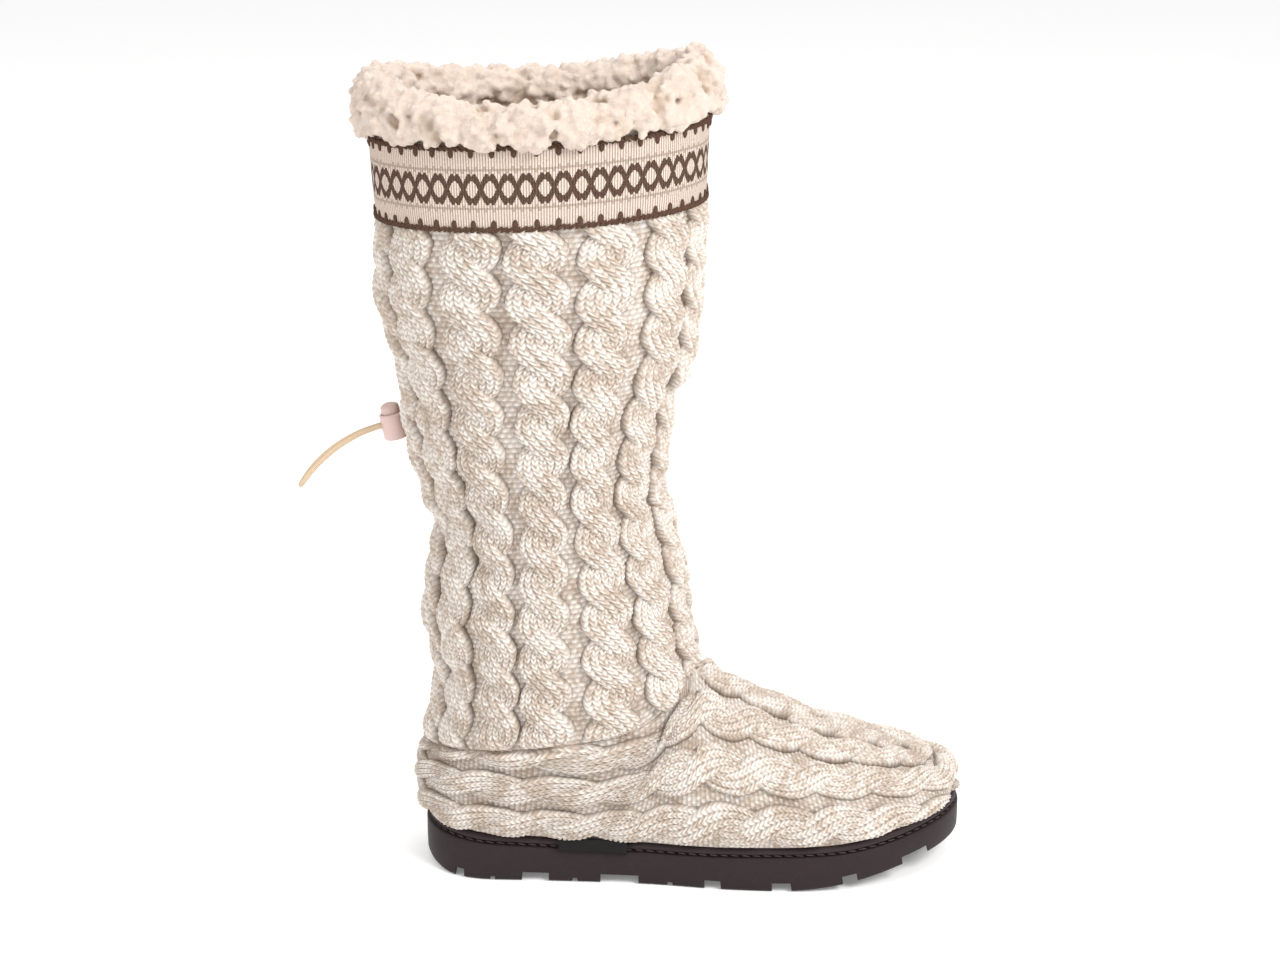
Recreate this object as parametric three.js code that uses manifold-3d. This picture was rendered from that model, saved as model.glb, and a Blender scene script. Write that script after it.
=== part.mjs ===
// Mukluk boot: a right boot with a cable-knit upper, a fleece cuff, a woven band,
// a cord lock on a doubled cord at the back of the shaft, and a lugged rubber sole.
// Millimetres. X runs to the toe, Y to the inner (medial) side and Z up.
// The origin lies on the floor under the middle of the heel.

import * as THREE from "three";
import { mergeVertices } from "three/addons/utils/BufferGeometryUtils.js";
import Module from "manifold-3d";

const wasm = await Module();
wasm.setup();

// Sole
const soleLength = 268;
const soleBack = 36;
const heelWidth = 74;
const waistWidth = 76;
const ballWidth = 100;
const heelCapLength = 37;
const toeCapLength = 66;
const capRound = 2.2;
const heelStack = 23;
const toeSpring = 12;
const springStart = 138;
const heelBevelLift = 4;
const heelBevelLength = 15;
const lugDepth = 5;
const channelWidth = 4;
const channelOffset = 13;
const channelDepth = 3.5;
const channelOverrun = 10.8;
const soleEdgeRound = 2.2;
const soleEdgeInset = 0.4;
const shoulderInset = 1.1;
const shoulderDrop = 1.4;

// Rand, the thin rubber strip between sole and knit
const randHeight = 4.4;
const randInset = 1.2;
const randLean = 1.5;
const randThickness = 4.4;
const randBulge = 0.3;
const randBulgeHeight = 0.45;

// Upper
const wall = 4;
const cableRelief = 3;
const seamFade = 9;
const bandFade = 7;
const bandFadeStart = 2;
const seatGap = 0.3;
const seamGap = 0.4;
const legAxis = 25;
const legHeight = 380;
const collarDepth = 150;
const collarWidth = 112;
const ankleHeight = 103;
const cableCount = 14;
const cableTurn = 20;
const strandSwing = 0.17;
const strandHalf = 0.23;
const strandTop = 0.86;
const strandLift = 0.12;
const footCableTurn = 21;
const footCables = 3.5;
const heelCables = 2.4;
const toeCables = 2.7;

// Insole
const insoleThickness = 4;

// Band and cuff
const bandHeight = 38.5;
const bandLow = 328;
const bandRise = 8.5;
const bandThickness = 2.4;
const collarBare = 8;
const cuffBulge = 7.8;
const cuffRise = 12.5;
const cuffInnerDrop = 24;
const cuffInnerThickness = 7;
const cuffWave = 6.5;
const cuffRimDrop = 1;
const cuffLockDrop = 3;
const lockLength = 6;
const lockWidth = 4.2;
const locksAround = 9;
const lockSway = 0.6;
const fleeceLump = 0.8;

// Side tag
const tagLength = 34;
const tagStart = 31;
const tagHeight = 8;
const tagThickness = 1.2;
const tagRise = 1.8;

// Cord lock and draw cord
const cordDiameter = 2.5;
const strandSpacing = 2.9;
const cordClearance = 0.3;
const wallGap = 1.3;
const lockHeight = 224;
const lockTilt = 12;
const barrelRadius = 6;
const barrelHeight = 13;
const barrelWall = 1.15;
const barrelFloor = 1.2;
const barrelChamfer = 0.8;
const rimChamfer = 0.6;
const cordLevel = 7.5;
const plungerClearance = 0.3;
const plungerRise = 5;
const plungerTravel = 3;
const plungerBridge = 1.2;
const stemChamfer = 0.4;

// Places along the sole: the share of the sole's length, the half width and its shift
const outlineRows = [
  { at: 0.0, half: 0.5 * heelWidth, shift: 0 },
  { at: 0.14, half: 0.5 * heelWidth, shift: 0 },
  { at: 0.4, half: 0.5 * waistWidth, shift: -0.035 * ballWidth },
  { at: 0.57, half: 0.445 * ballWidth, shift: -0.04 * ballWidth },
  { at: 0.74, half: 0.495 * ballWidth, shift: -0.008 * ballWidth },
  { at: 0.88, half: 0.475 * ballWidth, shift: 0.03 * ballWidth },
  { at: 1.0, half: 0.44 * ballWidth, shift: 0.085 * ballWidth },
];

// Height of the sole's top as a share of the heel stack, and of the rand as a share
const stackRows = [
  { at: 0.0, top: 1.0, rand: 1.09 },
  { at: 0.13, top: 0.84, rand: 1.02 },
  { at: 0.45, top: 0.74, rand: 0.93 },
  { at: 0.57, top: 0.765, rand: 0.9 },
  { at: 0.77, top: 0.86, rand: 0.95 },
  { at: 0.94, top: 1.13, rand: 1.14 },
  { at: 1.0, top: 1.2, rand: 1.18 },
];

// Gaps between the lugs along the sole: middle, width and depth
const lugRows = [
  { at: 0.067, width: 0.016, depth: 1 },
  { at: 0.128, width: 0.009, depth: 0.5 },
  { at: 0.207, width: 0.05, depth: 1 },
  { at: 0.28, width: 0.009, depth: 0.5 },
  { at: 0.362, width: 0.07, depth: 1 },
  { at: 0.455, width: 0.009, depth: 0.5 },
  { at: 0.533, width: 0.03, depth: 1 },
  { at: 0.659, width: 0.036, depth: 1 },
  { at: 0.785, width: 0.027, depth: 1 },
  { at: 0.908, width: 0.05, depth: 1 },
];

// Leg sections: height share, then reach back, reach forward and half width
const legRows = [
  { at: 0.13, back: 0.83, front: 1.08, half: 0.7 },
  { at: 0.2, back: 0.74, front: 1.04, half: 0.71 },
  { at: 0.255, back: 0.69, front: 1.0, half: 0.735 },
  { at: 0.31, back: 0.711, front: 0.93, half: 0.75 },
  { at: 0.34, back: 0.747, front: 0.903, half: 0.755 },
  { at: 0.395, back: 0.722, front: 0.873, half: 0.765 },
  { at: 0.45, back: 0.68, front: 0.797, half: 0.77 },
  { at: 0.485, back: 0.683, front: 0.767, half: 0.775 },
  { at: 0.53, back: 0.76, front: 0.715, half: 0.8 },
  { at: 0.58, back: 0.831, front: 0.757, half: 0.84 },
  { at: 0.635, back: 0.873, front: 0.8, half: 0.88 },
  { at: 0.685, back: 0.893, front: 0.907, half: 0.92 },
  { at: 0.76, back: 1.0, front: 0.96, half: 0.96 },
  { at: 0.84, back: 0.995, front: 0.985, half: 0.984 },
  { at: 0.9, back: 1.015, front: 0.997, half: 0.99 },
  { at: 0.95, back: 1.031, front: 1.007, half: 0.995 },
  { at: 1.0, back: 1.048, front: 1.017, half: 1.0 },
];

// Ankle seam: the turn from the heel (0) to the instep (0.5) and its height share
const seamRows = [
  { at: 0.0, height: 0.585 },
  { at: 0.12, height: 0.64 },
  { at: 0.25, height: 0.695 },
  { at: 0.34, height: 0.745 },
  { at: 0.38, height: 0.81 },
  { at: 0.42, height: 0.9 },
  { at: 0.46, height: 0.975 },
  { at: 0.5, height: 1.0 },
];

// Instep ridge: place along the edge, share of the sole's length and of the ankle's height
const ridgeRows = [
  { at: 0.5, along: 0.4944, height: 1.0, shift: 0 },
  { at: 0.56, along: 0.545, height: 0.9, shift: 0 },
  { at: 0.64, along: 0.623, height: 0.789, shift: 0 },
  { at: 0.74, along: 0.72, height: 0.657, shift: 0.005 },
  { at: 0.84, along: 0.806, height: 0.588, shift: 0.015 },
  { at: 0.92, along: 0.852, height: 0.545, shift: 0.025 },
  { at: 1.0, along: 0.872, height: 0.527, shift: 0.035 },
];

// Top of the plunger: share of its radius and depth below its highest point
const domeRows = [
  { share: 1, below: 1.8 },
  { share: 0.86, below: 0.8 },
  { share: 0.5, below: 0.15 },
  { share: 0, below: 0 },
];

// Colours of the pieces
const knitColour = 0xddd0bf;
const fleeceColour = 0xece2d6;
const bandColour = 0xd6c5b0;
const rubberColour = 0x3f3535;
const randColour = 0x4c4242;
const insoleColour = 0xd9cbb6;
const tagColour = 0x1d1b1c;
const lockColour = 0xcbb1ad;
const plungerColour = 0xc4b4aa;
const cordColour = 0xe0c9ab;

// Shape of the foot between the rand and its top line: how far it leans out over the
// rand at the heel and how much less at the sides and toe, its fullness and the instep
const heelLean = 0.6;
const sideLeanLoss = 0.2;
const toeLeanLoss = 0.12;
const instepRise = 0.6;
const instepFullness = 1.62;
const instepLean = 1.15;
const cornerShare = 0.5;
const girthShare = 0.7;

// Steps in which the surfaces are built
const stations = 28;
const footRows = 14;
const innerCount = 5;
const turnSteps = 56;
const legSteps = 18;
const innerSteps = 4;

function smoothStep(from, to, value) {
  const t = Math.min(1, Math.max(0, (value - from) / (to - from)));
  return t * t * (3 - 2 * t);
}

// A smooth value read from a table, with the slope of each row's two neighbours
function rowValue(rows, column, at) {
  const last = rows.length - 1;
  let i = 0;
  while (i < last - 1 && at > rows[i + 1].at) i += 1;
  const slope = (j) => {
    const a = rows[Math.max(0, j - 1)];
    const b = rows[Math.min(last, j + 1)];
    return (b[column] - a[column]) / (b.at - a.at);
  };
  const span = rows[i + 1].at - rows[i].at;
  const t = Math.min(1, Math.max(0, (at - rows[i].at) / span));
  const t2 = t * t;
  const t3 = t2 * t;
  return (2 * t3 - 3 * t2 + 1) * rows[i][column]
    + (t3 - 2 * t2 + t) * slope(i) * span
    + (3 * t2 - 2 * t3) * rows[i + 1][column]
    + (t3 - t2) * slope(i + 1) * span;
}

function vec(x, y, z) {
  return new THREE.Vector3(x, y, z);
}

// Triangles of one closed body, gathered and then merged
class Skin {
  constructor() {
    this.values = [];
  }

  triangle(a, b, c) {
    for (const p of [a, b, c]) this.values.push(p.x, p.y, p.z);
  }

  quad(a, b, c, d) {
    this.triangle(a, b, c);
    this.triangle(a, c, d);
  }

  geometry() {
    const raw = new THREE.BufferGeometry();
    raw.setAttribute("position", new THREE.Float32BufferAttribute(this.values, 3));
    return closedGeometry(raw);
  }
}

// The same geometry with shared corners, no empty triangles, and its faces pointing out
function closedGeometry(source) {
  const bare = source.clone();
  bare.deleteAttribute("normal");
  bare.deleteAttribute("uv");
  const merged = mergeVertices(bare, 1e-3);
  const place = merged.getAttribute("position");
  const index = merged.getIndex().array;
  const kept = [];
  let volume = 0;
  const a = new THREE.Vector3();
  const b = new THREE.Vector3();
  const c = new THREE.Vector3();
  for (let i = 0; i < index.length; i += 3) {
    const [p, q, r] = [index[i], index[i + 1], index[i + 2]];
    if (p === q || q === r || r === p) continue;
    kept.push(p, q, r);
    a.fromBufferAttribute(place, p);
    b.fromBufferAttribute(place, q);
    c.fromBufferAttribute(place, r);
    volume += a.dot(b.cross(c)) / 6;
  }
  if (volume < 0) kept.reverse();
  merged.setIndex(kept);
  return merged;
}

function toManifold(geometry) {
  const closed = closedGeometry(geometry);
  return new wasm.Manifold(new wasm.Mesh({
    numProp: 3,
    vertProperties: Float32Array.from(closed.getAttribute("position").array),
    triVerts: Uint32Array.from(closed.getIndex().array),
  }));
}

function fromManifold(solid) {
  const mesh = solid.getMesh();
  const geometry = new THREE.BufferGeometry();
  geometry.setAttribute("position", new THREE.BufferAttribute(mesh.vertProperties, 3));
  geometry.setIndex(new THREE.BufferAttribute(mesh.triVerts, 1));
  return closedGeometry(geometry);
}

// A closed tube of rings: each ring joins the next and the last joins the first
function ringBody(rings) {
  const skin = new Skin();
  rings.forEach((ring, i) => {
    const next = rings[(i + 1) % rings.length];
    ring.forEach((point, j) => {
      const k = (j + 1) % ring.length;
      skin.quad(point, ring[k], next[k], next[j]);
    });
  });
  return skin.geometry();
}

// A stack of sole-shaped rings, closed below and above by strips from edge to edge
function slabBody(rings) {
  const skin = new Skin();
  for (let i = 0; i < rings.length - 1; i += 1) {
    rings[i].forEach((point, j) => {
      const k = (j + 1) % rings[i].length;
      skin.quad(point, rings[i][k], rings[i + 1][k], rings[i + 1][j]);
    });
  }
  const cap = (ring, flip) => {
    const count = ring.length;
    for (let i = 0; i < count / 2; i += 1) {
      const corners = [ring[i], ring[i + 1], ring[(count - i - 1) % count], ring[(count - i) % count]];
      if (flip) corners.reverse();
      skin.quad(...corners);
    }
  };
  cap(rings[0], true);
  cap(rings[rings.length - 1], false);
  return skin.geometry();
}

// Sole outline: the point of one side's edge at a share of the sole's length
function edgeAt(side, at) {
  const run = at * soleLength;
  const round = (t) => (t >= 1 ? 1 : Math.pow(1 - Math.pow(1 - t, capRound), 1 / capRound));
  const ends = round(run / heelCapLength) * round((soleLength - run) / toeCapLength);
  const half = rowValue(outlineRows, "half", at) * ends;
  const shift = rowValue(outlineRows, "shift", at);
  return vec(run - soleBack, shift + side * half, 0);
}

// One side's edge measured along itself, so that stations can be spaced evenly
function edgeWalk(side) {
  const samples = 400;
  const points = [];
  const lengths = [0];
  for (let i = 0; i <= samples; i += 1) {
    points.push(edgeAt(side, 0.5 - 0.5 * Math.cos((Math.PI * i) / samples)));
    if (i > 0) lengths.push(lengths[i - 1] + points[i].distanceTo(points[i - 1]));
  }
  return { points, lengths, total: lengths[samples] };
}

const walks = { "-1": edgeWalk(-1), "1": edgeWalk(1) };

// The edge at a share of its own length, moved inwards by an inset
function edgePoint(side, share, inset) {
  const { points, lengths, total } = walks[side];
  const locate = (s) => {
    const goal = Math.min(1, Math.max(0, s)) * total;
    let i = 0;
    while (i < lengths.length - 2 && lengths[i + 1] < goal) i += 1;
    const t = (goal - lengths[i]) / (lengths[i + 1] - lengths[i]);
    return points[i].clone().lerp(points[i + 1], t);
  };
  const place = locate(share);
  let along = vec(1, 0, 0);
  if (share <= 0) along = vec(0, side, 0);
  else if (share >= 1) along = vec(0, -side, 0);
  else along = locate(share + 0.004).sub(locate(share - 0.004)).normalize();
  const inward = vec(-along.y, along.x, 0).multiplyScalar(-side);
  return place.addScaledVector(inward, inset);
}

function soleShare(point) {
  return Math.min(1, Math.max(0, (point.x + soleBack) / soleLength));
}

function soleTop(at) {
  return heelStack * rowValue(stackRows, "top", at);
}

function randTop(at) {
  return soleTop(at) + seatGap + randHeight * rowValue(stackRows, "rand", at);
}

function soleBottom(at) {
  const x = at * soleLength - soleBack;
  const spring = toeSpring * smoothStep(springStart, soleLength - soleBack, x);
  const bevel = Math.max(0, 1 - (at * soleLength) / heelBevelLength);
  return spring + heelBevelLift * bevel * bevel;
}

// A ring along the outline: the outer (lateral) side to the toe, then the inner side back
function outlineRing(count, inset, heightAt) {
  const ring = [];
  const add = (side, share) => {
    const height = heightAt(soleShare(edgePoint(side, share, 0)));
    const point = edgePoint(side, share, inset);
    ring.push(vec(point.x, point.y, height));
  };
  for (let i = 0; i <= count; i += 1) add(-1, i / count);
  for (let i = count - 1; i > 0; i -= 1) add(1, i / count);
  return ring;
}

// A box that cuts a gap into the underside of the sole
function gapCutter(x, slope, length, width, depth, base, y) {
  const box = new THREE.BoxGeometry(length, width, 2 * depth);
  box.rotateY(-Math.atan(slope));
  box.translate(x, y, base);
  return toManifold(box);
}

function makeOutsole() {
  const side = (share) => (at) => soleBottom(at) + share * (soleTop(at) - soleBottom(at));
  const rings = [
    outlineRing(stations, soleEdgeRound, soleBottom),
    outlineRing(stations, soleEdgeInset, (at) => soleBottom(at) + soleEdgeRound),
    outlineRing(stations, 0, side(0.5)),
    outlineRing(stations, 0, (at) => soleTop(at) - shoulderDrop),
    outlineRing(stations, shoulderInset, soleTop),
  ];
  let body = toManifold(slabBody(rings));
  const reach = 2 * ballWidth;
  for (const row of lugRows) {
    const x = row.at * soleLength - soleBack;
    const step = 0.5 * row.width;
    const slope = (soleBottom(row.at + step) - soleBottom(row.at - step)) / (2 * step * soleLength);
    const depth = row.depth * lugDepth;
    const cutter = gapCutter(x, slope, row.width * soleLength, reach, depth, soleBottom(row.at), 0);
    body = body.subtract(cutter);
  }
  const channelLength = springStart + channelOverrun;
  for (const sign of [-1, 1]) {
    const middle = 0.5 * (springStart - channelOverrun);
    const y = sign * channelOffset;
    body = body.subtract(gapCutter(middle, 0, channelLength, channelWidth, channelDepth, 0, y));
  }
  return fromManifold(body);
}

function makeRand() {
  const bottom = (at) => soleTop(at) + seatGap;
  const middle = (at) => bottom(at) + randBulgeHeight * (randTop(at) - bottom(at));
  return ringBody([
    outlineRing(stations, randInset, bottom),
    outlineRing(stations, randInset - randBulge, middle),
    outlineRing(stations, randInset + randLean, randTop),
    outlineRing(stations, randInset + randThickness, randTop),
    outlineRing(stations, randInset + randThickness, bottom),
  ]);
}

function makeInsole() {
  const inset = randInset + randThickness + 2 * seatGap + wall;
  const bottom = (at) => soleTop(at) + seatGap;
  const top = (at) => soleTop(at) + seatGap + insoleThickness;
  return slabBody([
    outlineRing(stations, inset, bottom),
    outlineRing(stations, inset, top),
  ]);
}

// Leg surface: turn 0 at the back, 0.25 outer side, 0.5 front, 0.75 inner side
function legPoint(turn, height, offset = 0) {
  const at = height / legHeight;
  const angle = 2 * Math.PI * turn;
  const forward = -Math.cos(angle);
  const reachRow = forward < 0 ? "back" : "front";
  const reach = 0.5 * collarDepth * rowValue(legRows, reachRow, at) + offset;
  const half = 0.5 * collarWidth * rowValue(legRows, "half", at) + offset;
  return vec(legAxis + reach * forward, -half * Math.sin(angle), height);
}

function legNormal(turn, height) {
  const step = 0.002;
  const along = legPoint(turn + step, height).sub(legPoint(turn - step, height));
  const up = legPoint(turn, height + 1).sub(legPoint(turn, height - 1));
  return along.cross(up).normalize();
}

// How far round from the back, whichever side: 0 at the back and 0.5 at the front
function fold(turn) {
  const t = turn - Math.floor(turn);
  return t > 0.5 ? 1 - t : t;
}

// The seam runs straight between the foot's stations, so that both rims stay parallel
function seamHeight(turn) {
  const place = Math.min(cornerShare * stations, fold(turn) * 2 * cornerShare * stations);
  const low = Math.floor(place + 1e-9);
  const high = Math.min(cornerShare * stations, low + 1);
  const heightOf = (i) => rowValue(seamRows, "height", (0.5 * i) / (cornerShare * stations));
  return ankleHeight * (heightOf(low) + (heightOf(high) - heightOf(low)) * (place - low));
}

// The turn of the seam that a station of the sole's edge meets, on either side
function seamTurn(side, share) {
  const turn = (0.5 * share) / cornerShare;
  return side < 0 ? turn : 1 - turn;
}

function bandBottom(turn) {
  return bandLow + bandRise * 0.5 * (1 - Math.cos(2 * Math.PI * turn));
}

function legTop(turn) {
  return bandBottom(turn) + bandHeight + collarBare;
}

const turns = Array.from({ length: turnSteps }, (_, i) => i / turnSteps);

// A ring of the leg at an offset from its surface, at a height that may vary round it
function legRing(offset, heightAt) {
  return turns.map((turn) => legPoint(turn, heightAt(turn), offset));
}

// Height of a two-strand cable: 0 in the gutter and 1 on the strand that lies on top
function cableHeight(across, along) {
  const w = across - Math.floor(across) - 0.5;
  const swing = strandSwing * Math.cos(Math.PI * along);
  const over = strandLift * Math.sin(Math.PI * along);
  const strand = (centre, lift) => {
    const t = (w - centre) / strandHalf;
    return Math.abs(t) < 1 ? Math.sqrt(1 - t * t) * (strandTop + lift) : 0;
  };
  return Math.max(strand(swing, over), strand(-swing, -over));
}

function legRelief(turn, height) {
  const lower = smoothStep(0, seamFade, height - seamHeight(turn));
  const upper = smoothStep(0, bandFade, bandBottom(turn) - bandFadeStart - height);
  return cableRelief * lower * upper * cableHeight(cableCount * turn, height / cableTurn);
}

function makeShaft() {
  const underBand = (turn) => bandBottom(turn) - seamGap;
  const level = (turn, share) => {
    const low = seamHeight(turn) + seamGap / 2;
    return low + (underBand(turn) - low) * share;
  };
  const outer = [];
  for (let j = 0; j <= legSteps; j += 1) {
    outer.push(turns.map((turn) => {
      const height = level(turn, j / legSteps);
      return legPoint(turn, height).addScaledVector(legNormal(turn, height), legRelief(turn, height));
    }));
  }
  outer.push(legRing(0, legTop));
  const inner = [legRing(-wall, legTop)];
  for (let j = innerSteps; j >= 0; j -= 1) {
    inner.push(turns.map((turn) => legPoint(turn, level(turn, j / innerSteps), -wall)));
  }
  return ringBody([...outer, ...inner]);
}

// Top line of the foot: the ankle seam up to the instep, then the ridge to the toe
function topLine(side, share) {
  if (share < cornerShare) {
    const turn = seamTurn(side, share);
    return legPoint(turn, seamHeight(turn) - seamGap / 2);
  }
  const along = rowValue(ridgeRows, "along", share);
  const height = rowValue(ridgeRows, "height", share);
  const shift = rowValue(ridgeRows, "shift", share);
  const corner = legPoint(0.5, ankleHeight - seamGap / 2);
  const start = ridgeRows[0].along * soleLength - soleBack;
  const x = along * soleLength - soleBack + (corner.x - start) * (1 - smoothStep(0.5, 0.64, share));
  return vec(x, shift * ballWidth, ankleHeight * height - seamGap / 2);
}

// The direction in which the foot's surface arrives at its top line
function topDirection(side, share) {
  if (share < cornerShare) {
    const turn = seamTurn(side, share);
    const height = seamHeight(turn);
    const up = legPoint(turn, height + 1).sub(legPoint(turn, height - 1)).normalize();
    const step = -0.002 * side;
    const forward = legPoint(turn + step, height).sub(legPoint(turn - step, height)).normalize();
    const lean = instepLean * smoothStep(0.36, cornerShare, share);
    return up.multiplyScalar(Math.cos(lean)).addScaledVector(forward, Math.sin(lean)).normalize();
  }
  const step = 0.01;
  const ridge = topLine(side, Math.min(1, share + step)).sub(topLine(side, share - 0.001)).normalize();
  const swing = 0.5 * Math.PI * smoothStep(0.72, 1, share);
  const peak = (0.5 * Math.PI - instepLean) * (1 - smoothStep(cornerShare, 0.64, share));
  return vec(0, -side * Math.cos(swing), Math.sin(peak)).addScaledVector(ridge, -Math.sin(swing)).normalize();
}

// One girth curve of the foot, from the rand up to the top line, spaced evenly
function girthCurve(side, share, count) {
  const edge = edgePoint(side, share, 0);
  const at = soleShare(edge);
  const base = edgePoint(side, share, randInset + randLean);
  base.z = randTop(at) + seatGap;
  const out = edgePoint(side, share, -1).sub(edge);
  const top = topLine(side, share);
  const rise = top.z - base.z;
  const level = Math.hypot(top.x - base.x, top.y - base.y);
  const arch = smoothStep(0.3, cornerShare, share);
  const lean = heelLean - sideLeanLoss * smoothStep(0.04, 0.2, share)
    - toeLeanLoss * smoothStep(0.6, 0.9, share);
  const leave = vec(0, 0, 1).addScaledVector(out, lean).normalize();
  leave.multiplyScalar(rise * (1 + instepRise * arch));
  const arrive = topDirection(side, share);
  arrive.multiplyScalar((1 - arch) * rise + arch * instepFullness * level);
  const curve = (t) => {
    const t2 = t * t;
    const t3 = t2 * t;
    return base.clone().multiplyScalar(2 * t3 - 3 * t2 + 1)
      .addScaledVector(leave, t3 - 2 * t2 + t)
      .addScaledVector(top, 3 * t2 - 2 * t3)
      .addScaledVector(arrive, t3 - t2);
  };
  const samples = 60;
  const fine = [];
  const lengths = [0];
  for (let i = 0; i <= samples; i += 1) {
    fine.push(curve(i / samples));
    if (i > 0) lengths.push(lengths[i - 1] + fine[i].distanceTo(fine[i - 1]));
  }
  const points = [];
  for (let j = 0; j <= count; j += 1) {
    const goal = (lengths[samples] * j) / count;
    let i = 0;
    while (i < samples - 1 && lengths[i + 1] < goal) i += 1;
    const t = (goal - lengths[i]) / (lengths[i + 1] - lengths[i]);
    points.push(fine[i].clone().lerp(fine[i + 1], t));
  }
  return points;
}

// The foot's smooth outer surface, as girth curves at even stations of both sides
function footGrid(count) {
  const grid = {};
  for (const side of [-1, 1]) {
    grid[side] = [];
    for (let i = 0; i <= stations; i += 1) grid[side].push(girthCurve(side, i / stations, count));
  }
  return grid;
}

// Outward normals of that grid, the same from both sides where the sides meet
function footNormals(grid, count) {
  const normals = {};
  const corner = Math.round(cornerShare * stations);
  for (const side of [-1, 1]) {
    const other = grid[-side];
    const own = grid[side];
    normals[side] = own.map((curve, i) => curve.map((point, j) => {
      let before = i > 0 ? own[i - 1][j] : other[1][j];
      let after = i < stations ? own[i + 1][j] : other[stations - 1][j];
      if (i === corner && j === count) before = point;
      if (i === corner - 1 && j === count) after = point;
      const below = j > 0 ? own[i][j - 1] : point;
      let above = j < count ? own[i][j + 1] : point;
      if (j === count && i >= corner) above = other[i][count - 1];
      const along = after.clone().sub(before);
      const up = above.clone().sub(below);
      return along.cross(up).multiplyScalar(-side).normalize();
    }));
  }
  return normals;
}

// Cables on the foot, counted down from the ridge
function footCableCount(share) {
  if (share < cornerShare) {
    return heelCables + (footCables - heelCables) * smoothStep(0.12, cornerShare, share);
  }
  return footCables + (toeCables - footCables) * smoothStep(0.7, 1, share);
}

function footRelief(side, share, girth) {
  const count = footCableCount(share);
  const fromRidge = share < cornerShare ? footCables - count * girth : count * (1 - girth);
  const along = (share * walks[-1].total) / footCableTurn;
  const own = cableHeight(0.5 + side * fromRidge, along);
  const other = cableHeight(0.5 - side * fromRidge, along);
  const height = share > 0 && share < 1 ? own : 0.5 * (own + other);
  const low = smoothStep(0, 0.1, girth);
  const pastCorner = Math.max(0, share - cornerShare) * walks[-1].total;
  const below = (1 - girth) * girthShare * ankleHeight;
  const seam = smoothStep(0, seamFade, Math.hypot(pastCorner, below));
  return cableRelief * height * low * seam;
}

function makeFootUpper() {
  const skin = new Skin();
  const corner = Math.round(cornerShare * stations);
  const outer = footGrid(footRows);
  const outerNormals = footNormals(outer, footRows);
  const inner = footGrid(innerCount);
  const innerNormals = footNormals(inner, innerCount);
  const skirtInset = randInset + randThickness + seatGap;
  const skirt = (side, i, inset, heightAt) => {
    const at = soleShare(edgePoint(side, i / stations, 0));
    const point = edgePoint(side, i / stations, inset);
    return vec(point.x, point.y, heightAt(at));
  };
  for (const side of [-1, 1]) {
    const columns = outer[side].map((curve, i) => {
      const share = i / stations;
      const lower = [
        skirt(side, i, skirtInset, (at) => soleTop(at) + seatGap),
        skirt(side, i, skirtInset, (at) => randTop(at) + seatGap),
      ];
      const knit = curve.map((point, j) => {
        const relief = footRelief(side, share, j / footRows);
        return point.clone().addScaledVector(outerNormals[side][i][j], relief);
      });
      const lining = inner[side][i].map((point, j) => (
        point.clone().addScaledVector(innerNormals[side][i][j], -wall)
      ));
      if (i <= corner) {
        const turn = seamTurn(side, share);
        lining[innerCount].copy(legPoint(turn, seamHeight(turn) - seamGap / 2, -wall));
      }
      const foot = [
        skirt(side, i, skirtInset + wall, (at) => randTop(at) + 0.6 * wall),
        skirt(side, i, skirtInset + wall, (at) => soleTop(at) + seatGap),
      ];
      return { outside: [...lower, ...knit], inside: [...lining.slice(1).reverse(), ...foot] };
    });
    for (let i = 0; i < stations; i += 1) {
      const here = columns[i];
      const next = columns[i + 1];
      const strip = (a, b) => {
        for (let j = 0; j < a.length - 1; j += 1) {
          const corners = [a[j], b[j], b[j + 1], a[j + 1]];
          if (side > 0) corners.reverse();
          skin.quad(...corners);
        }
      };
      strip(here.outside, next.outside);
      strip(here.inside, next.inside);
      if (i < corner) {
        strip([here.outside.at(-1), here.inside[0]], [next.outside.at(-1), next.inside[0]]);
      }
      strip([here.inside.at(-1), here.outside[0]], [next.inside.at(-1), next.outside[0]]);
    }
  }
  return skin.geometry();
}

function makeBand() {
  const top = (turn) => bandBottom(turn) + bandHeight;
  const outside = seamGap + bandThickness;
  return ringBody([
    legRing(seamGap, bandBottom),
    legRing(outside, bandBottom),
    legRing(outside, top),
    legRing(seamGap, top),
  ]);
}

function cuffTop(turn) {
  return legTop(turn) + cuffRise + cuffWave * Math.cos(4 * Math.PI * turn);
}

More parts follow.
